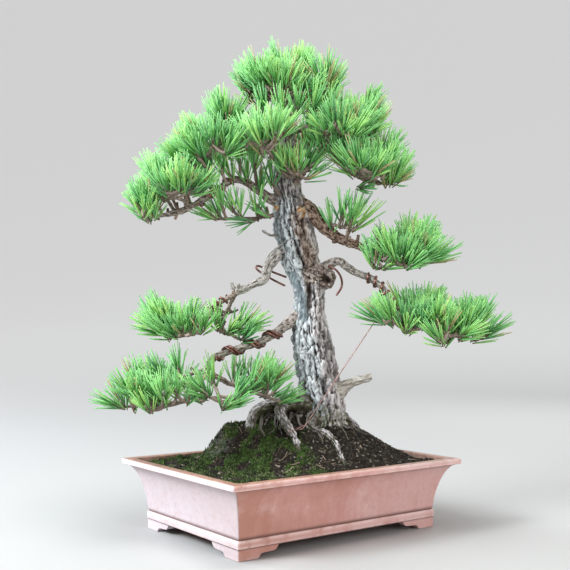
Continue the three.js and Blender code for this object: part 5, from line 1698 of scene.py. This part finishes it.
def needle_lines(shoots, number, pairs, free, sizes):
    """Needle pairs in a spiral up each shoot, opening wider lower down, each needle a slight bow: the
    lines, and each needle's tone. Shoots from the number free onwards may hang."""
    base, axis = (np.array([shoot[k] for shoot in shoots]) for k in (1, 2))
    count = len(shoots)
    pair = np.arange(pairs)[None]
    seed = (number * 1009 + np.arange(count)[:, None] * 53 + pair) * 1.0
    own = seed[:, :1]
    up = (pair + 0.5) / pairs
    polar = np.radians(mix(36, 4, up) + 14 * (chance(seed, 1) - 0.5))
    turn = pair * GOLDEN + 0.6 * chance(seed, 2) + TURN * chance(own, 3)
    ways, out = needle_ways(axis, seed, polar, turn, np.arange(count) >= free)
    foot = base[:, None] + axis[:, None] * (SHOOT * (up - 0.75))[..., None] + out * 1.5
    length = NEEDLE_LENGTH * (0.9 + 0.14 * chance(seed[..., None], 6 + TWINS))
    length = length * mix(0.86, 1.0, up)[..., None]
    length = length * (sizes[:, None] * (0.84 + 0.2 * chance(own, 13)))[..., None]
    curl = 0.07 * (0.4 + chance(seed, 9))[..., None, None, None]
    sway = 0.05 * (chance(seed, 10) - 0.5)[..., None, None, None] * out[:, :, None, None]
    ways = ways[..., None, :]
    bow = curl * (axis[:, None, None, None] - ways * 0.7) + sway
    s = NEEDLE_RINGS[:, None]
    line = foot[:, :, None, None] + (ways * s + bow * s**2) * length[..., None, None]
    tone = 0.5 * chance(seed, 11) + 0.45 * chance(own, 12)
    tone = np.where(chance(seed, 14) > 0.955, 1.0, tone)
    return line.reshape(-1, len(NEEDLE_RINGS), 3), np.repeat(tone.reshape(-1), len(TWINS))


def add_twigs(form, start, end, shoots):
    """The spray's stem, its twigs, which are cubic curves that turn up into their shoots, and a bud on
    each."""
    share = np.linspace(0, 1, 9)
    stem = mix(start, end, share[:, None])
    form.tubes(scaly(stem[None], mix(2.4, 1.9, share)[None], 7, 7), plate=0.8, warm=0.75, tone=0.5)
    foot, base, axis = (np.array([shoot[k] for shoot in shoots])[:, None] for k in range(3))
    top = base + axis * SHOOT * 0.12
    knee = mix(foot, base, 0.7) - axis * 9
    t = np.linspace(0, 1, 8)[None, :, None]
    line = (1 - t) ** 3 * foot + 3 * t * (1 - t) ** 2 * knee
    line = line + 3 * t**2 * (1 - t) * (base - 7 * axis) + t**3 * top
    tone = 0.3 + 0.5 * chance(np.arange(len(shoots)), 77)
    radius = np.broadcast_to(mix(2.4, 1.8, t[..., 0]), line.shape[:2])
    form.tubes(scaly(line, radius, 5, 3), plate=0.75, warm=0.8, tone=tone[:, None, None])
    bud = top + axis * np.array([-1, 0.8, 3.6, 6.0])[None, :, None]
    radius = np.broadcast_to([1.1, 1.8, 1.5, 0.15], bud.shape[:2])
    form.tubes(paths(bud, radius, 5), plate=0.9, warm=0.35, tone=0.85)


def build_spray(number, name, root, tip, stations):
    """A spray: its twigs, and its needles."""
    start, end = seen(root), seen(tip)
    shoots = shoots_of(number, start, end, stations)
    pad = max((pad for pad in DENSITY if name.startswith(pad)), key=len)
    pairs, size, *share = DENSITY[pad]
    shoots = leaning(shoots + companions(shoots, number, share), number)
    free = len(shoots)
    sizes = [size] * free
    for foot, base, axis, own_size in INFILL.get(name, []):
        shoots.append((seen(foot), seen(base), unit(seen(axis))))
        sizes.append(own_size * INFILL_SIZE)
    twigs = Form()
    add_twigs(twigs, start, end, shoots)
    twigs.piece(f"twigs_{name}", YOUNG_BARK, "bark", f"spray_{name}")
    line, tone = needle_lines(shoots, number, pairs, free, np.array(sizes))
    radius = np.broadcast_to(NEEDLE_RADII, line.shape[:2])
    needles = Form()
    needles.tubes(paths(line, radius, 3), tone=tone[:, None, None], along=NEEDLE_RINGS[None, :, None])
    needles.piece(f"needles_{name}", NEEDLE, "needles", f"spray_{name}")


build_pot()
build_nets()
build_soil()
build_trunk()
build_wood(
    "root_mass", BARK, [ROOT_MASS], 47, density=0.9, plate=(6, 7), deep=3.0, warm=0.85, soiled=1.0, sides=96
)
build_knot()
build_wood("surface_roots", BARK, ROOTS, 50, density=0.85, plate=(5, 11), deep=1.9, warm=0.8, soiled=0.95)
build_wood("old_branches", YOUNG_BARK, OLD_BRANCHES, 70, density=0.9, plate=(5, 13), deep=1.0, warm=0.12)
build_branches()
build_wood("dead_stub", DEAD_WOOD, [DEAD_STUB], 43, density=0.9, plate=(4, 40), deep=1.5, warm=0.5)
build_moss()
build_grains()
build_rootlets()
build_litter()
build_wires()
build_guy_wire()
for number, (name, _, root, tip, stations) in enumerate(SPRAYS):
    build_spray(number, name, root, tip, stations)

# The floor, lights and camera, in metres

FLAT_RADIUS = 1.6
BOWL_RADIUS = 10.0
BOWL_HEIGHT = 7.0
CAMERA_AT = (np.array([-718.5, -957.06, 260.28]) + SHIFT) * MM
CAMERA_TURN = math.radians(-36.496)
CAMERA_TILT = math.radians(-3.279)
FOCAL_PIXELS = 870
PICTURE_PIXELS = 570
SENSOR = 36  # millimetres
AIM = (0, 0, 0.35)
# Soft round lights: where they stand, seen from the tree's front, their size, power and colour
LIGHTS = dict(
    key=((-1.7, -0.9, 1.4), 0.8, 62, (0.93, 0.97, 1.0)),
    window=((-2.2, 0.7, 1.4), 1.4, 52, (0.84, 0.93, 1.0)),
    fill=((1.4, -1.5, 0.9), 1.4, 18, (1.0, 0.97, 0.94)),
    top=((0.2, -0.3, 2.0), 1.0, 28, (1.0, 1.0, 1.0)),
    back=((0.9, 1.6, 1.2), 1.2, 12, (1.0, 1.0, 1.0)),
)
SKY = (0.8, 0.81, 0.82, 1)
SKY_STRENGTH = 0.42


def build_floor():
    """A flat floor that curves up far away, by a quarter of an ellipse, so that no edge shows. It glows
    softly there."""
    bend = np.linspace(0, TURN / 4, 40)
    radius = np.concatenate([[0.01, 1.0], FLAT_RADIUS + (BOWL_RADIUS - FLAT_RADIUS) * np.sin(bend)])
    height = np.concatenate([[0.0, 0.0], BOWL_HEIGHT * (1 - np.cos(bend))])
    sides = 96
    angle = round_angles(sides)
    x, y = radius[:, None] * np.cos(angle), radius[:, None] * np.sin(angle)
    points = np.stack([x, y, np.broadcast_to(height[:, None], x.shape)], -1).reshape(-1, 3)
    quads = tube_faces(len(radius), sides)[0][:, ::-1]
    mesh = bpy.data.meshes.new("floor")
    mesh.from_pydata(points.tolist(), [], [*quads.tolist(), list(range(sides))])
    mesh.shade_smooth()
    f = Finish("floor_paint", Roughness=0.8, Specular_IOR_Level=0.1, Emission_Strength=1.0)
    far = f.node("ShaderNodeVectorMath", dict(operation="LENGTH"), {0: f.place}, "Value").rise(0.3, 4.0)
    f.set(Base_Color=(0.4, 0.4, 0.395), Emission_Color=f.blend(far, (0.0, 0.0, 0.0), (0.44, 0.44, 0.44)))
    f.material.cycles.emission_sampling = "NONE"
    mesh.materials.append(f.material)
    floor = put("floor", mesh)


def seen_metres(place):
    """A place in metres seen from the tree's front, in the pot's frame."""
    return tuple((seen(np.array(place) / MM) + SHIFT) * MM)


def build_lights():
    """The lights, each aimed at the middle of the tree, and an even pale sky."""
    aim = Vector(seen_metres(AIM))
    for name, (place, size, power, colour) in LIGHTS.items():
        data = bpy.data.lights.new(name, "AREA")
        data.shape = "DISK"
        data.size = size
        data.energy = power
        data.color = colour
        at = Vector(seen_metres(place))
        put(name, data, at).rotation_euler = (aim - at).to_track_quat("-Z", "Y").to_euler()
    world = bpy.data.worlds.new("studio")
    world.use_nodes = True
    background = world.node_tree.nodes["Background"]
    background.inputs["Color"].default_value = SKY
    background.inputs["Strength"].default_value = SKY_STRENGTH
    bpy.context.scene.world = world


def build_camera():
    """The camera stands where the photograph was taken from and looks slightly up."""
    data = bpy.data.cameras.new("camera")
    data.sensor_width = SENSOR
    data.lens = FOCAL_PIXELS / PICTURE_PIXELS * SENSOR
    level = math.cos(CAMERA_TILT)
    ahead = -Vector((math.sin(CAMERA_TURN) * level, -math.cos(CAMERA_TURN) * level, math.sin(CAMERA_TILT)))
    camera = put("camera", data, CAMERA_AT)
    camera.rotation_euler = ahead.to_track_quat("-Z", "Y").to_euler()
    bpy.context.scene.camera = camera


build_floor()
build_camera()
build_lights()
bpy.context.scene.view_settings.view_transform = "Standard"
